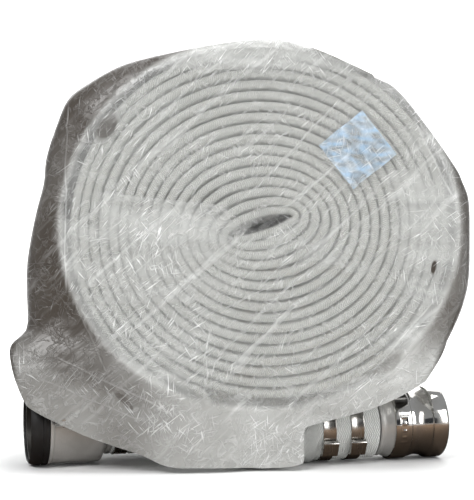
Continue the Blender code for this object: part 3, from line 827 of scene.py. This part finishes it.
def make_jacket(surface):
    """One hose from coupling to coupling, flat in the roll and round over both shanks."""
    stations = hose_stations()
    section, outline = whole_section()
    rounds = []
    for length in outline[:-1]:
        angle = math.tau * (length - outline[BEAD_STEPS // 2]) / outline[-1]
        rounds.append(Vector((math.cos(angle), math.sin(angle))) * JACKET_RADIUS)
    shape = bmesh.new()
    weave = shape.loops.layers.uv.new("weave")
    # deep: where the painted eye shade goes
    deep = shape.verts.layers.float.new("deep")
    travelled = [0.0]
    for before, after in zip(stations, stations[1:]):
        travelled.append(travelled[-1] + (after[0] - before[0]).length)
    rings = [hose_ring(shape, deep, section, rounds, station, along)
             for station, along in zip(stations, travelled)]
    count = len(section)
    for (low, high), start, end in zip(zip(rings, rings[1:]), travelled, travelled[1:]):
        for k in range(count):
            nxt = (k + 1) % count
            face = shape.faces.new((low[k], low[nxt], high[nxt], high[k]))
            spots = ((outline[k], start), (outline[k + 1], start), (outline[k + 1], end), (outline[k], end))
            for loop, spot in zip(face.loops, spots):
                loop[weave].uv = spot
    close_end(shape, rings[0], FEMALE.to_3x3() @ Vector((0.037, 0, 0)))
    close_end(shape, rings[-1], MALE.to_3x3() @ Vector((-0.045, 0, 0)))
    piece = add_piece("hose_jacket", shape, surface, sharp=60)
    stand_in(piece, "hose", "woven_jacket", "hose_coil", "hose_tail_male", "hose_tail_female")
    length = travelled[-1]


def close_end(shape, ring, inward):
    """A cut end: the wall's thickness, the bore over the lining, and a floor in it."""
    middle = sum((v.co for v in ring), Vector()) / len(ring)
    rings = [ring]
    for reach, depth in ((0.0345, -0.012), (0.0338, 0.0), (0.0334, 0.02), (0.0334, 1.0)):
        scale = reach / JACKET_RADIUS
        rings.append([shape.verts.new(middle + (v.co - middle) * scale + inward * depth) for v in ring])
    skin(shape, rings)
    shape.faces.new(rings[-1])


# ---------------------------------------------------------------- couplings
def barbs(start, end, count, pointing):
    """Saw-tooth ridges on a shank, tapering towards +X (1) or -X (-1)."""
    pitch = (end - start) / count
    low = SHANK_RADIUS - 0.0008
    points = []
    for k in range(count):
        foot = start + pitch * k
        if pointing > 0:
            points += [(foot, SHANK_RADIUS, 0.0003), (foot + pitch * 0.9, low, 0)]
        else:
            points += [(foot + pitch * 0.1, low, 0), (foot + pitch, SHANK_RADIUS, 0.0003)]
    return points


def stamped(along, radius, angle):
    """A raised blank frame with three bars, on opposite sides of the adapter's wide ring."""
    if not 0.0210 < along < 0.0320 or radius < 0.0365:
        return 0.0
    turn = (math.degrees(angle) - 85.0 + 90.0) % 180.0 - 90.0
    if abs(turn) > 21.0:
        return 0.0
    border = abs(turn) > 18.5 or along < 0.0225 or along > 0.0305
    bars = 0.0243 < along < 0.0287 and any(abs(turn - at) < 1.6 for at in (-11.0, 0.0, 11.0))
    return 0.00045 if border or bars else 0.0


def make_male_adapter(surface, satin):
    """The adapter: barbed shank, satin collar, stamped wide ring, groove and lip."""
    outline = [(-0.0440, BORE_RADIUS, 0.0004)]
    outline += barbs(-0.0435, -0.0010, 4, -1)
    outline += [
        (0.0012, 0.0304, 0.0003), (0.0022, 0.0304, 0.0003), (0.0028, 0.0330, 0.0006),
        (0.0070, 0.0334, 0.0006), (0.0078, 0.0320, 0.0006), (0.0098, 0.0322, 0.001), (0.0160, 0.0350, 0.001),
        (0.0172, 0.0350, 0.0004), (0.0178, 0.0372, 0.0007), (0.0206, 0.0373, 0),
    ]
    outline += [(0.0206 + 0.0009 * k, 0.0373, 0) for k in range(1, 13)]
    outline += [(0.0330, 0.0373, 0), (0.0352, 0.0373, 0.0008), (0.0362, 0.0362, 0.0005)]
    outline += [(0.0385, 0.0360, 0.001)]
    groove_start = 0.0400
    groove_end = 0.0580
    for k in range(11):
        share = k / 10
        outline.append((groove_start + (groove_end - groove_start) * share,
                        0.0358 - 0.0016 * math.sin(math.pi * share) ** 0.8, 0))
    outline += [
        (0.0590, 0.0362, 0.0005), (0.0598, 0.0378, 0.0010), (0.0768, 0.0379, 0.0030),
        (ADAPTER_LENGTH, 0.0330, 0.0016), (0.0755, BORE_RADIUS + 0.0012, 0.0010),
        (0.0730, BORE_RADIUS, 0.001),
    ]
    piece = add_piece("adapter_turned", turned_shape(rounded(outline, 3), 240, stamped), surface, MALE)
    piece.data.materials.append(satin)
    to_adapter = MALE.inverted()
    for face in piece.data.polygons:
        if (to_adapter @ face.center).x < 0.0174:
            face.material_index = 1
    stand_in(piece, "hose", "polished_steel", "male_adapter")


def arm_place(side):
    """Where a cam arm's pivot is: X along the arm, Y along the pin, Z outwards."""
    turn = Matrix.Rotation(ARM_ROLL + (math.pi if side == "back" else 0.0), 4, "X")
    return FEMALE @ turn @ Matrix.Translation((PIVOT_DEPTH, 0, PIVOT_RADIUS))


def make_coupler(surface, inner_surface):
    """The coupler body: spigot under the bumper, ears and windows for the arms, barbed shank."""
    spigot = BUMPER_RADIUS - 0.0030
    outline = [
        (0.0034, MOUTH_RADIUS, 0.0003), (0.0030, spigot, 0.0003), (BUMPER_LENGTH + GAP, spigot, 0),
        (BUMPER_LENGTH + GAP, BODY_RADIUS + 0.0006, 0.0005),
        (BUMPER_LENGTH + 0.0035, BODY_RADIUS + 0.0006, 0.0008),
        (BUMPER_LENGTH + 0.0045, BODY_RADIUS - 0.0004, 0.0008), (0.0620, BODY_RADIUS, 0.001),
        (0.0740, BODY_RADIUS - 0.0005, 0.0040), (BODY_LENGTH, 0.0350, 0.0020), (0.0765, 0.0335, 0.0006),
        (0.0788, 0.0335, 0.0004), (0.0792, 0.0350, 0.0005), (0.0835, 0.0350, 0.0005),
        (0.0836, 0.0304, 0.0003),
    ]
    outline += barbs(0.0860, COUPLER_SHANK_END - 0.0005, 4, 1)
    outline += [
        (COUPLER_SHANK_END, BORE_RADIUS, 0.0005), (SEAT_DEPTH + 0.001, BORE_RADIUS, 0.0005),
        (SEAT_DEPTH, BORE_RADIUS + 0.001, 0.0003), (SEAT_DEPTH, MOUTH_RADIUS, 0.0003),
    ]
    piece = add_piece("coupler_cast", turned_shape(rounded(outline, 3), 144), surface, FEMALE)
    ear = [(-0.0095, -0.0065), (0.0095, -0.0065)] + arc((0, 0.0005), 0.0068, -5, 185, 16)
    half = CAM_RADIUS + 0.0016
    window = [(-half, -0.0140), (half, -0.0140), (half, 0.0010), (-half, 0.0010)]
    cuts = []
    for side in ("front", "back"):
        place = arm_place(side)
        for way in (-1, 1):
            beside = Matrix.Translation((0, way * (ARM_WIDTH / 2 + 0.0006 + EAR_THICKNESS / 2), 0))
            cuts.append(("UNION", slab_shape(ear, EAR_THICKNESS), place @ beside))
        cuts.append(("DIFFERENCE", slab_shape(window, ARM_WIDTH + 0.0012), place))
        cuts.append(("DIFFERENCE", rod_shape(PIN_RADIUS + GAP, -0.02, 0.02), place))
    carve(piece, cuts, 0.0005)
    # painted shade: the faces inside the mouth take a near-black metal
    piece.data.materials.append(inner_surface)
    to_coupler = FEMALE.inverted()
    for face in piece.data.polygons:
        spot = to_coupler @ face.center
        if spot.x < SEAT_DEPTH + 0.0005 and math.hypot(spot.y, spot.z) < MOUTH_RADIUS + 0.0004:
            face.material_index = 1
    stand_in(piece, "hose", "cast_alloy", "female_coupler")


def make_bumper(surface):
    """The black ring round the mouth, with one groove."""
    hold = BUMPER_RADIUS - 0.0030 + GAP
    outline = [
        (0.0, MOUTH_RADIUS + 0.0008, 0.0004), (0.0026, MOUTH_RADIUS + 0.0004, 0.0003), (0.0027, hold, 0.0003),
        (BUMPER_LENGTH, hold, 0), (BUMPER_LENGTH, BUMPER_RADIUS - 0.0002, 0.0008),
        (0.0140, BUMPER_RADIUS, 0.0004), (0.0134, BUMPER_RADIUS - 0.0007, 0.0003),
        (0.0122, BUMPER_RADIUS - 0.0007, 0.0003), (0.0116, BUMPER_RADIUS, 0.0004),
        (0.0060, BUMPER_RADIUS, 0.0030), (0.0010, BUMPER_RADIUS - 0.0024, 0.0020),
    ]
    piece = add_piece("bumper_ring", turned_shape(rounded(outline, 4), 128), surface, FEMALE)
    stand_in(piece, "hose", "black_rubber", "mouth_bumper")


def make_gasket(surface):
    """The flat seal at the bottom of the mouth."""
    start = SEAT_DEPTH - GAP - 0.0065
    end = SEAT_DEPTH - GAP
    outline = [
        (start, BORE_RADIUS + 0.0015, 0.0008), (start, MOUTH_RADIUS - GAP, 0.0010),
        (end, MOUTH_RADIUS - GAP, 0.0006), (end, BORE_RADIUS + 0.0015, 0.0004),
    ]
    piece = add_piece("gasket_ring", turned_shape(rounded(outline, 4), 96), surface, FEMALE)
    stand_in(piece, "hose", "black_rubber", "gasket")


def make_lining(name, node_name, start, end, place, surface):
    """The rubber lining, as it shows at the hose's end."""
    outline = [(start, LINING_INNER, 0.0003), (start, LINING_OUTER, 0.0003), (end, LINING_OUTER, 0.0003),
               (end, LINING_INNER, 0.0003)]
    piece = add_piece(name, turned_shape(rounded(outline, 2), 96), surface, place)
    stand_in(piece, "hose", "hose_lining", node_name)


def make_arm(side, surface):
    """A cam arm: round head, slim handle with a shallow recess, and an eye for its ring."""
    head = arc((0, 0), CAM_RADIUS, 95, 300, 28)
    handle = [
        (0.0085, -0.0048), (0.0110, -0.0024), (0.0150, -0.0012), (0.0300, -0.0004), (0.0560, 0.0000),
        (ARM_REACH - 0.0060, 0.0008),
    ]
    eye = arc((ARM_REACH, 0.0018), 0.0056, -120, 130, 16)
    top = [
        (ARM_REACH - 0.0090, 0.0066), (0.0500, 0.0060), (0.0380, 0.0060), (0.0250, 0.0066), (0.0120, 0.0090),
        (0.0040, 0.0103),
    ]
    place = arm_place(side)
    piece = add_piece("lever_" + side, slab_shape(head + handle + eye + top, ARM_WIDTH), surface, place)
    to_eye = Matrix.Translation((ARM_REACH, 0, 0.0018))
    shoulder = [(-0.0085, -0.02), (0.0200, -0.02), (0.0200, 0.02), (-0.0085, 0.02)]
    cuts = [("DIFFERENCE", rod_shape(PIN_RADIUS + GAP, -0.02, 0.02), place),
            ("DIFFERENCE", rod_shape(0.0030, -0.02, 0.02), place @ to_eye)]
    for way in (-1, 1):
        beside = Matrix.Translation((0, way * (0.0020 + 0.0100), 0))
        cuts.append(("DIFFERENCE", slab_shape(shoulder, 0.0200), place @ to_eye @ beside))
    thumb = [(0.0220, 0.0056), (0.0480, 0.0050), (0.0480, 0.02), (0.0220, 0.02)]
    cuts.append(("DIFFERENCE", slab_shape(thumb, ARM_WIDTH - 0.0045), place))
    carve(piece, cuts, 0.0007)
    stand_in(piece, "arm_" + side, "arm_steel", "cam_arm_" + side)


def make_pin(side, surface):
    """The headed pin that a cam arm turns on."""
    reach = ARM_WIDTH / 2 + 0.0006 + EAR_THICKNESS
    outline = [
        (-reach - 0.0010, 0.0, 0), (-reach - 0.0010, PIN_RADIUS, 0.0006), (reach + GAP, PIN_RADIUS, 0),
        (reach + GAP, PIN_RADIUS + 0.0015, 0.0003), (reach + 0.0017, PIN_RADIUS + 0.0012, 0.0008),
        (reach + 0.0018, 0.0, 0),
    ]
    shape = turned_shape([(a, max(r, 0.00002)) for a, r in rounded(outline, 3)], 40)
    bmesh.ops.remove_doubles(shape, verts=shape.verts, dist=0.00005)
    piece = add_piece("pin_" + side, shape, surface, arm_place(side) @ Matrix.Rotation(math.pi / 2, 4, "Z"))
    stand_in(piece, "hose", "polished_steel", "cam_pin_" + side)


def make_ring(side, surface):
    """A closed ring of wire, slightly flattened round its outside."""
    shape = bmesh.new()
    rings = []
    steps, sides = 72, 14
    for k in range(steps):
        angle = math.tau * k / steps
        middle = Vector((math.cos(angle), math.sin(angle), 0)) * RING_RADIUS
        out = middle.normalized()
        ring = []
        for j in range(sides):
            turn = math.tau * j / sides
            reach = RING_WIRE * (1 - 0.10 * (abs(math.sin(turn)) < 0.2 and math.cos(turn) > 0))
            aside = out * math.cos(turn) + Vector((0, 0, 1)) * math.sin(turn)
            ring.append(shape.verts.new(middle + aside * reach))
        rings.append(ring)
    skin(shape, rings + rings[:1])
    bmesh.ops.translate(shape, verts=shape.verts, vec=(RING_RADIUS, 0, 0))
    place = (arm_place(side) @ Matrix.Translation((ARM_REACH, 0, 0.0018))
             @ Matrix.Rotation(RING_LEAN[side], 4, "Y"))
    piece = add_piece("finger_ring_" + side, shape, surface, place)
    stand_in(piece, "ring_" + side, "polished_steel", "pull_ring_" + side)


def make_clamp(name, end, along, buckle_angle, surface):
    """A steel band round the hose over a shank, with its buckle."""
    place = MALE if end == "male" else FEMALE
    inner = JACKET_RADIUS + GAP
    outer = inner + BAND_THICKNESS
    half = BAND_WIDTH / 2
    outline = [
        (along - half, inner, 0.0001), (along - half, outer, 0.0002), (along - half + 0.0012, outer, 0),
        (along - half + 0.0016, outer - 0.0002, 0), (along + half - 0.0016, outer - 0.0002, 0),
        (along + half - 0.0012, outer, 0), (along + half, outer, 0.0002), (along + half, inner, 0.0001),
    ]
    band = add_piece(name + "_strip", turned_shape(rounded(outline, 2), 128), surface, place)
    stand_in(band, "hose", "band_steel", name)
    profile = [(-0.0085, -0.0005), (0.0085, -0.0005)]
    profile += arc((0.0065, 0.0022), 0.0020, -45, 90, 8) + arc((-0.0060, 0.0020), 0.0025, 90, 200, 10)
    turn = (Matrix.Rotation(math.radians(buckle_angle), 4, "X")
            @ Matrix.Translation((along, 0, outer + 0.0018)) @ Matrix.Rotation(math.pi / 2, 4, "Z"))
    buckle = add_piece(name + "_lock", slab_shape(profile, BAND_WIDTH + 0.0025), surface, place @ turn)
    step = buckle.modifiers.new("bevel", "BEVEL")
    step.width = 0.0004
    step.segments = 3
    step.limit_method = "ANGLE"
    settle(buckle)
    stand_in(buckle, "hose", "band_steel", name + "_buckle")


# ---------------------------------------------------------------- the bag
BAG_CENTRE = Vector((0.005, 0.225))
BAG_DEPTH = 0.0562
BAG_EDGE_DEPTH = 0.0300
FILM_STEP = 0.0036

SILHOUETTE = [                   # the film's outline as (x, z), from the lower right over the top
    (0.1828, 0.0899), (0.2079, 0.1331), (0.2220, 0.1653), (0.2280, 0.1934), (0.2290, 0.2300),
    (0.2280, 0.2707), (0.2209, 0.2918), (0.2139, 0.3059), (0.1838, 0.3490), (0.1557, 0.3832),
    (0.1326, 0.3962), (0.0874, 0.4173), (0.0482, 0.4314), (0.0271, 0.4340), (-0.0030, 0.4324),
    (-0.0331, 0.4284), (-0.0753, 0.4203), (-0.1185, 0.4093), (-0.1516, 0.3922), (-0.1747, 0.3751),
    (-0.1858, 0.3520), (-0.1978, 0.3159), (-0.2008, 0.2888), (-0.2088, 0.2576), (-0.2169, 0.2135),
    (-0.2179, 0.1843), (-0.2169, 0.1482), (-0.2190, 0.1390), (-0.2309, 0.1261), (-0.2290, 0.1080),
    (-0.2249, 0.0930),
]
MOUTH_EDGE = [                   # and its open lower edge, from the left to the right
    (-0.2249, 0.0930), (-0.2169, 0.0719), (-0.2100, 0.0640), (-0.1816, 0.0489), (-0.1419, 0.0320),
    (-0.1022, 0.0191), (-0.0754, 0.0072), (-0.0427, 0.0052), (-0.0080, 0.0042), (0.0307, 0.0032),
    (0.0560, 0.0062), (0.0612, 0.0120), (0.0615, 0.0400), (0.0700, 0.0460), (0.0962, 0.0529),
    (0.1279, 0.0618), (0.1577, 0.0747), (0.1828, 0.0899),
]


PLEATS = [                       # straight folds in the front film, drawn as painted glints: start, end, width, strength
    ((-0.1777, 0.3760), (-0.1777, 0.1750), 0.0010, 0.45),
    ((0.1030, 0.3790), (0.0460, 0.3190), 0.0010, 0.45),
    ((0.0950, 0.2960), (0.0430, 0.2460), 0.0010, 0.38),
    ((0.1690, 0.3560), (0.2120, 0.2700), 0.0013, 0.35),
    ((0.0550, 0.1990), (-0.0300, 0.1560), 0.0010, 0.30),
    ((-0.1720, 0.1750), (-0.1300, 0.0900), 0.0010, 0.28),
    ((-0.1900, 0.1180), (-0.0700, 0.0600), 0.0012, 0.40),
    ((-0.2060, 0.0960), (-0.0900, 0.0480), 0.0010, 0.22),
    ((0.1960, 0.1750), (0.1200, 0.0900), 0.0011, 0.32),
]
SHADES = [                       # painted shade where loose film dips: middle, half length, half width, lean, amount
    ((-0.1185, 0.0739), 0.0210, 0.0048, -46.0, 0.90),
    ((-0.1747, 0.1211), 0.0200, 0.0065, 84.0, 0.50),
    ((-0.1355, 0.1190), 0.0180, 0.0060, -62.0, 0.38),
    ((0.1476, 0.1080), 0.0170, 0.0085, 42.0, 0.55),
    ((-0.1365, 0.3450), 0.0180, 0.0105, 52.0, 0.85),
    ((0.1918, 0.2044), 0.0085, 0.0034, 78.0, 1.00),
    ((0.0201, 0.2657), 0.0150, 0.0030, 33.0, 0.35),
    ((0.0300, 0.4190), 0.0090, 0.0130, 0.0, 0.30),
]


def crackle(x, z, size, seed):
    """Facets that meet in creases, from 0 on a crease to about 1 between them."""
    near = noise.voronoi(Vector((x / size, seed, z / size)))[0]
    return near[1] - near[0]


def roll_reach(way):
    """How far the roll reaches from the bag's centre in a direction of the XZ plane."""
    centre = Vector((ROLL_CENTRE.x, ROLL_CENTRE.z)) - BAG_CENTRE
    half_length = 0.1900 if way.x > 0 else 0.2000
    half_height = 0.1860 if way.y > 0 else 0.1760
    a = (way.x / half_length) ** 2 + (way.y / half_height) ** 2
    b = -2 * (way.x * centre.x / half_length ** 2 + way.y * centre.y / half_height ** 2)
    c = (centre.x / half_length) ** 2 + (centre.y / half_height) ** 2 - 1
    return (-b + math.sqrt(b * b - 4 * a * c)) / (2 * a)


def film_depth(spot, rim, side):
    """How far a point of the film stands from the middle plane; rim is 0 on the roll, 1 at the edge."""
    flare = 0.0150 * smoothstep(0.165, 0.090, spot.y) * smoothstep(0.03, -0.06, spot.x)
    depth = BAG_DEPTH + flare
    depth = BAG_EDGE_DEPTH + (depth - BAG_EDGE_DEPTH) * math.sqrt(max(0.0, 1 - rim * rim))
    seed = 1.7 if side < 0 else 8.3
    warp = noise.noise(Vector((spot.x * 18, seed, spot.y * 18))) * 0.012
    stretch_x, stretch_z = spot.x * 0.55 + warp, spot.y + warp
    broad = crackle(stretch_x, stretch_z, 0.034, seed)
    fine = crackle(spot.x + spot.y * 0.4 + warp, spot.y * 0.7 - spot.x * 0.3, 0.013, seed + 4)
    waves = 0.5 + 0.5 * noise.noise(Vector((spot.x * 9, seed, spot.y * 9)))
    return depth + (0.0026 * broad + 0.0010 * fine + 0.0016 * waves) * (1 - 0.5 * rim)


def film_haze(x, z):
    """Milkiness of the front film."""
    cloud = 0.5 + 0.5 * noise.noise(Vector((x * 14, 2.2, z * 20)))
    haze = 0.16 + 0.16 * cloud
    edge_line = 0.2787 - 0.108 * (x + 0.1335)
    band = smoothstep(edge_line + 0.0012, edge_line - 0.0012, z)
    band *= smoothstep(edge_line - 0.045, edge_line - 0.018, z)
    band *= smoothstep(-0.150, -0.136, x) * smoothstep(0.004, -0.040, x)
    left = smoothstep(0.02, -0.08, x) * smoothstep(0.270, 0.235, z) * smoothstep(0.02, 0.08, z)
    low = smoothstep(0.11, 0.05, z) * smoothstep(0.12, 0.02, x)
    right = smoothstep(0.135, 0.180, x) * smoothstep(0.36, 0.28, z) * 0.30
    top = smoothstep(0.396, 0.412, z) * 0.42
    milky = min(1.0, haze + 0.26 * band + 0.20 * left * (0.5 + cloud) + 0.16 * low + right + top)
    from_eye = Vector((x - 0.0310, z - 0.2500)) @ Matrix.Rotation(EYE_TILT, 2)
    clear = smoothstep(1.0, 0.6, math.hypot(from_eye.x / 0.036, from_eye.y / 0.012))
    return milky * (1 - 0.92 * clear)


def film_painted_shade(spot):
    """Painted shade of the loose film round the roll: most on the left and at the upper left."""
    cloud = 0.5 + 0.5 * noise.noise(Vector((spot.x * 30, 6.0, spot.y * 12)))
    dark_left = smoothstep(0.05, -0.10, spot.x) * smoothstep(0.120, 0.200, spot.y)
    low_left = smoothstep(-0.04, -0.14, spot.x) * smoothstep(0.220, 0.160, spot.y)
    right = smoothstep(0.00, 0.08, spot.x) * smoothstep(0.09, 0.16, spot.y)
    below = smoothstep(0.110, 0.070, spot.y) * smoothstep(-0.16, -0.08, spot.x)
    flap = smoothstep(0.112, 0.092, spot.y + 0.42 * (spot.x + 0.19)) * smoothstep(-0.08, -0.11, spot.x)
    shade_amount = 0.74 * dark_left + (0.60 - 0.14 * flap) * low_left + 0.60 * right + 0.14 * below
    return min(1.0, 0.20 + shade_amount + 0.26 * (cloud - 0.3))


def make_bag(surface):
    """An open bag of thin film drawn over the roll, one layer all round."""
    sides = even_steps(smooth_curve([(x, z, 0) for x, z in SILHOUETTE], 6), FILM_STEP)
    mouth = even_steps(smooth_curve([(x, z, 0) for x, z in MOUTH_EDGE], 6), FILM_STEP)
    outline = [p.to_2d() for p in sides[:-1] + mouth[:-1]]
    closed_until = len(sides) - 1
    ring_count = 62
    shape = bmesh.new()
    haze = shape.verts.layers.float.new("haze")
    edge = shape.verts.layers.float.new("edge")
    faces = {}
    for side in (-1, 1):
        rings = []
        for step in range(ring_count + 1):
            scale = 0.02 + 0.98 * step / ring_count
            ring = []
            for k, point in enumerate(outline):
                ray = point - BAG_CENTRE
                reach = roll_reach(ray.normalized()) / ray.length
                rim = 0.0
                if scale > reach and reach < 0.995:
                    rim = (scale - reach) / (1 - reach)
                rise = (0.070, 0.150) if point.x < 0 else (0.085, 0.130)
                far_up = smoothstep(*rise, point.y)
                rim *= far_up
                spot = BAG_CENTRE + ray * scale * (1 + 0.016 * rim)
                vertex = shape.verts.new((spot.x, side * film_depth(spot, rim, side), spot.y))
                outside = smoothstep(0.0, 0.010, (scale - reach) * ray.length)
                vertex[haze] = (film_haze(spot.x, spot.y) if side < 0 else 0.30) + 0.50 * outside
                # painted shade: the loose film outside the roll, and a dark line along the outline
                outline_line = 0.80 * smoothstep(0.976, 1.0, scale) * far_up
                vertex[edge] = min(1.0, film_painted_shade(spot) * outside + outline_line)
                ring.append(vertex)
            rings.append(ring)
        skin(shape, rings)
        shape.faces.new(rings[0])
        faces[side] = rings[-1]
    strips = 10
    rows = [faces[-1][:closed_until + 1]]
    for step in range(1, strips):
        share = step / strips
        row = []
        for front, back in zip(rows[0], faces[1][:closed_until + 1]):
            spot = front.co.lerp(back.co, share)
            out = Vector((spot.x - BAG_CENTRE.x, 0, spot.z - BAG_CENTRE.y)).normalized()
            ripple = 0.0016 * noise.noise(Vector((spot.x * 45, spot.y * 20, spot.z * 45)))
            bulge = (0.0030 + ripple) * math.sin(math.pi * share)
            vertex = shape.verts.new(spot + out * bulge)
            vertex[haze] = 0.25
            # painted shade on the band round the side
            vertex[edge] = film_painted_shade(Vector((spot.x, spot.z)))
            row.append(vertex)
        rows.append(row)
    rows.append(faces[1][:closed_until + 1])
    skin(shape, rows, closed=False)
    piece = add_piece("clear_bag", shape, surface, sharp=180)
    stand_in(piece, "bag", "clear_film", "poly_bag")


def make_label(surface):
    """A crumpled square of tinted film stuck to the bag."""
    low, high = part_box("bag_label")
    middle = (Vector(low) + Vector(high)) / 2
    half, turn, steps = 0.0280, math.radians(52), 60
    shape = bmesh.new()
    haze = shape.verts.layers.float.new("haze")
    edge = shape.verts.layers.float.new("edge")
    grid = []
    for row in range(steps + 1):
        line = []
        for column in range(steps + 1):
            a = (column / steps * 2 - 1) * half
            b = (row / steps * 2 - 1) * half
            a += 0.0012 * noise.noise(Vector((b * 60, 3.1, 0)))
            b += 0.0012 * noise.noise(Vector((a * 60, 9.1, 0)))
            x = middle.x + a * math.cos(turn) + b * math.sin(turn)
            z = middle.z - a * math.sin(turn) + b * math.cos(turn)
            height = film_depth(Vector((x, z)), 0.0, -1) + 0.0006 + 0.0008 * crackle(a, b, 0.011, 5.0)
            vertex = shape.verts.new((x, -height, z))
            rim = max(abs(a), abs(b)) / half
            folded = smoothstep(0.35, 0.02, crackle(a * 0.6, b, 0.012, 5.0))
            vertex[haze] = 0.13 + 0.34 * folded + 0.12 * smoothstep(0.90, 0.97, rim)
            streak = noise.noise(Vector(((a + b) * 60, 1.0, (a - b) * 150)))
            vertex[edge] = min(1.0, max(0.0, 0.36 + 0.7 * streak))
            line.append(vertex)
        grid.append(line)
    skin(shape, grid, closed=False)
    piece = add_piece("film_patch", shape, surface, sharp=180)
    stand_in(piece, "bag", "label_film", "bag_label")


# ---------------------------------------------------------------- build
add_studio()
woven = woven_material()
rubber = rubber_material("black_rubber", (0.006, 0.006, 0.0065), 0.50)
lining_rubber = rubber_material("hose_lining", (0.020, 0.020, 0.021), 0.5)
polished = metal_material("polished_steel", (0.62, 0.61, 0.59), (0.48, 0.46, 0.43), 0.06, 0.16, 45.0, 0.00015)
cast = metal_material("cast_alloy", (0.56, 0.55, 0.53), (0.42, 0.41, 0.39), 0.28, 0.44, 420.0, 0.0004,
                      bare=0.55)
# near-black metal: painted shade inside the coupler's mouth
mouth_shade_metal = metal_material("alloy_in_painted_shade", (0.10, 0.098, 0.092), (0.05, 0.048, 0.045), 0.35, 0.60,
                           300.0, 0.0004)
arm_metal = metal_material("arm_steel", (0.68, 0.67, 0.65), (0.52, 0.51, 0.49), 0.22, 0.40, 260.0, 0.0003,
                           (0.12, 1.0, 1.0))
band_metal = metal_material("band_steel", (0.58, 0.57, 0.55), (0.42, 0.40, 0.37), 0.12, 0.30, 300.0, 0.0002,
                            (1.0, 0.10, 0.10))
# the film's second colour is the painted shade of the loose film
film = film_material("clear_film", (0.60, 0.605, 0.585), (0.046, 0.037, 0.029), 0.03, PLEATS, SHADES)
tinted = film_material("label_film", (0.58, 0.66, 0.73), (0.27, 0.43, 0.61), 0.0)

make_jacket(woven)
make_lining("inner_lining_male", "lining_male", -0.0440, 0.0012, MALE, lining_rubber)
make_lining("inner_lining_female", "lining_female", JACKET_START - 0.0005, COUPLER_SHANK_END, FEMALE,
            lining_rubber)
make_male_adapter(polished, cast)
make_coupler(cast, mouth_shade_metal)
make_bumper(rubber)
make_gasket(rubber)
for arm_side in ("front", "back"):
    make_arm(arm_side, arm_metal)
    make_pin(arm_side, polished)
    make_ring(arm_side, polished)
for clamp_name, (hose_end, clamp_along, clamp_angle) in BANDS.items():
    make_clamp(clamp_name, hose_end, clamp_along, clamp_angle, band_metal)
make_bag(film)
make_label(tinted)
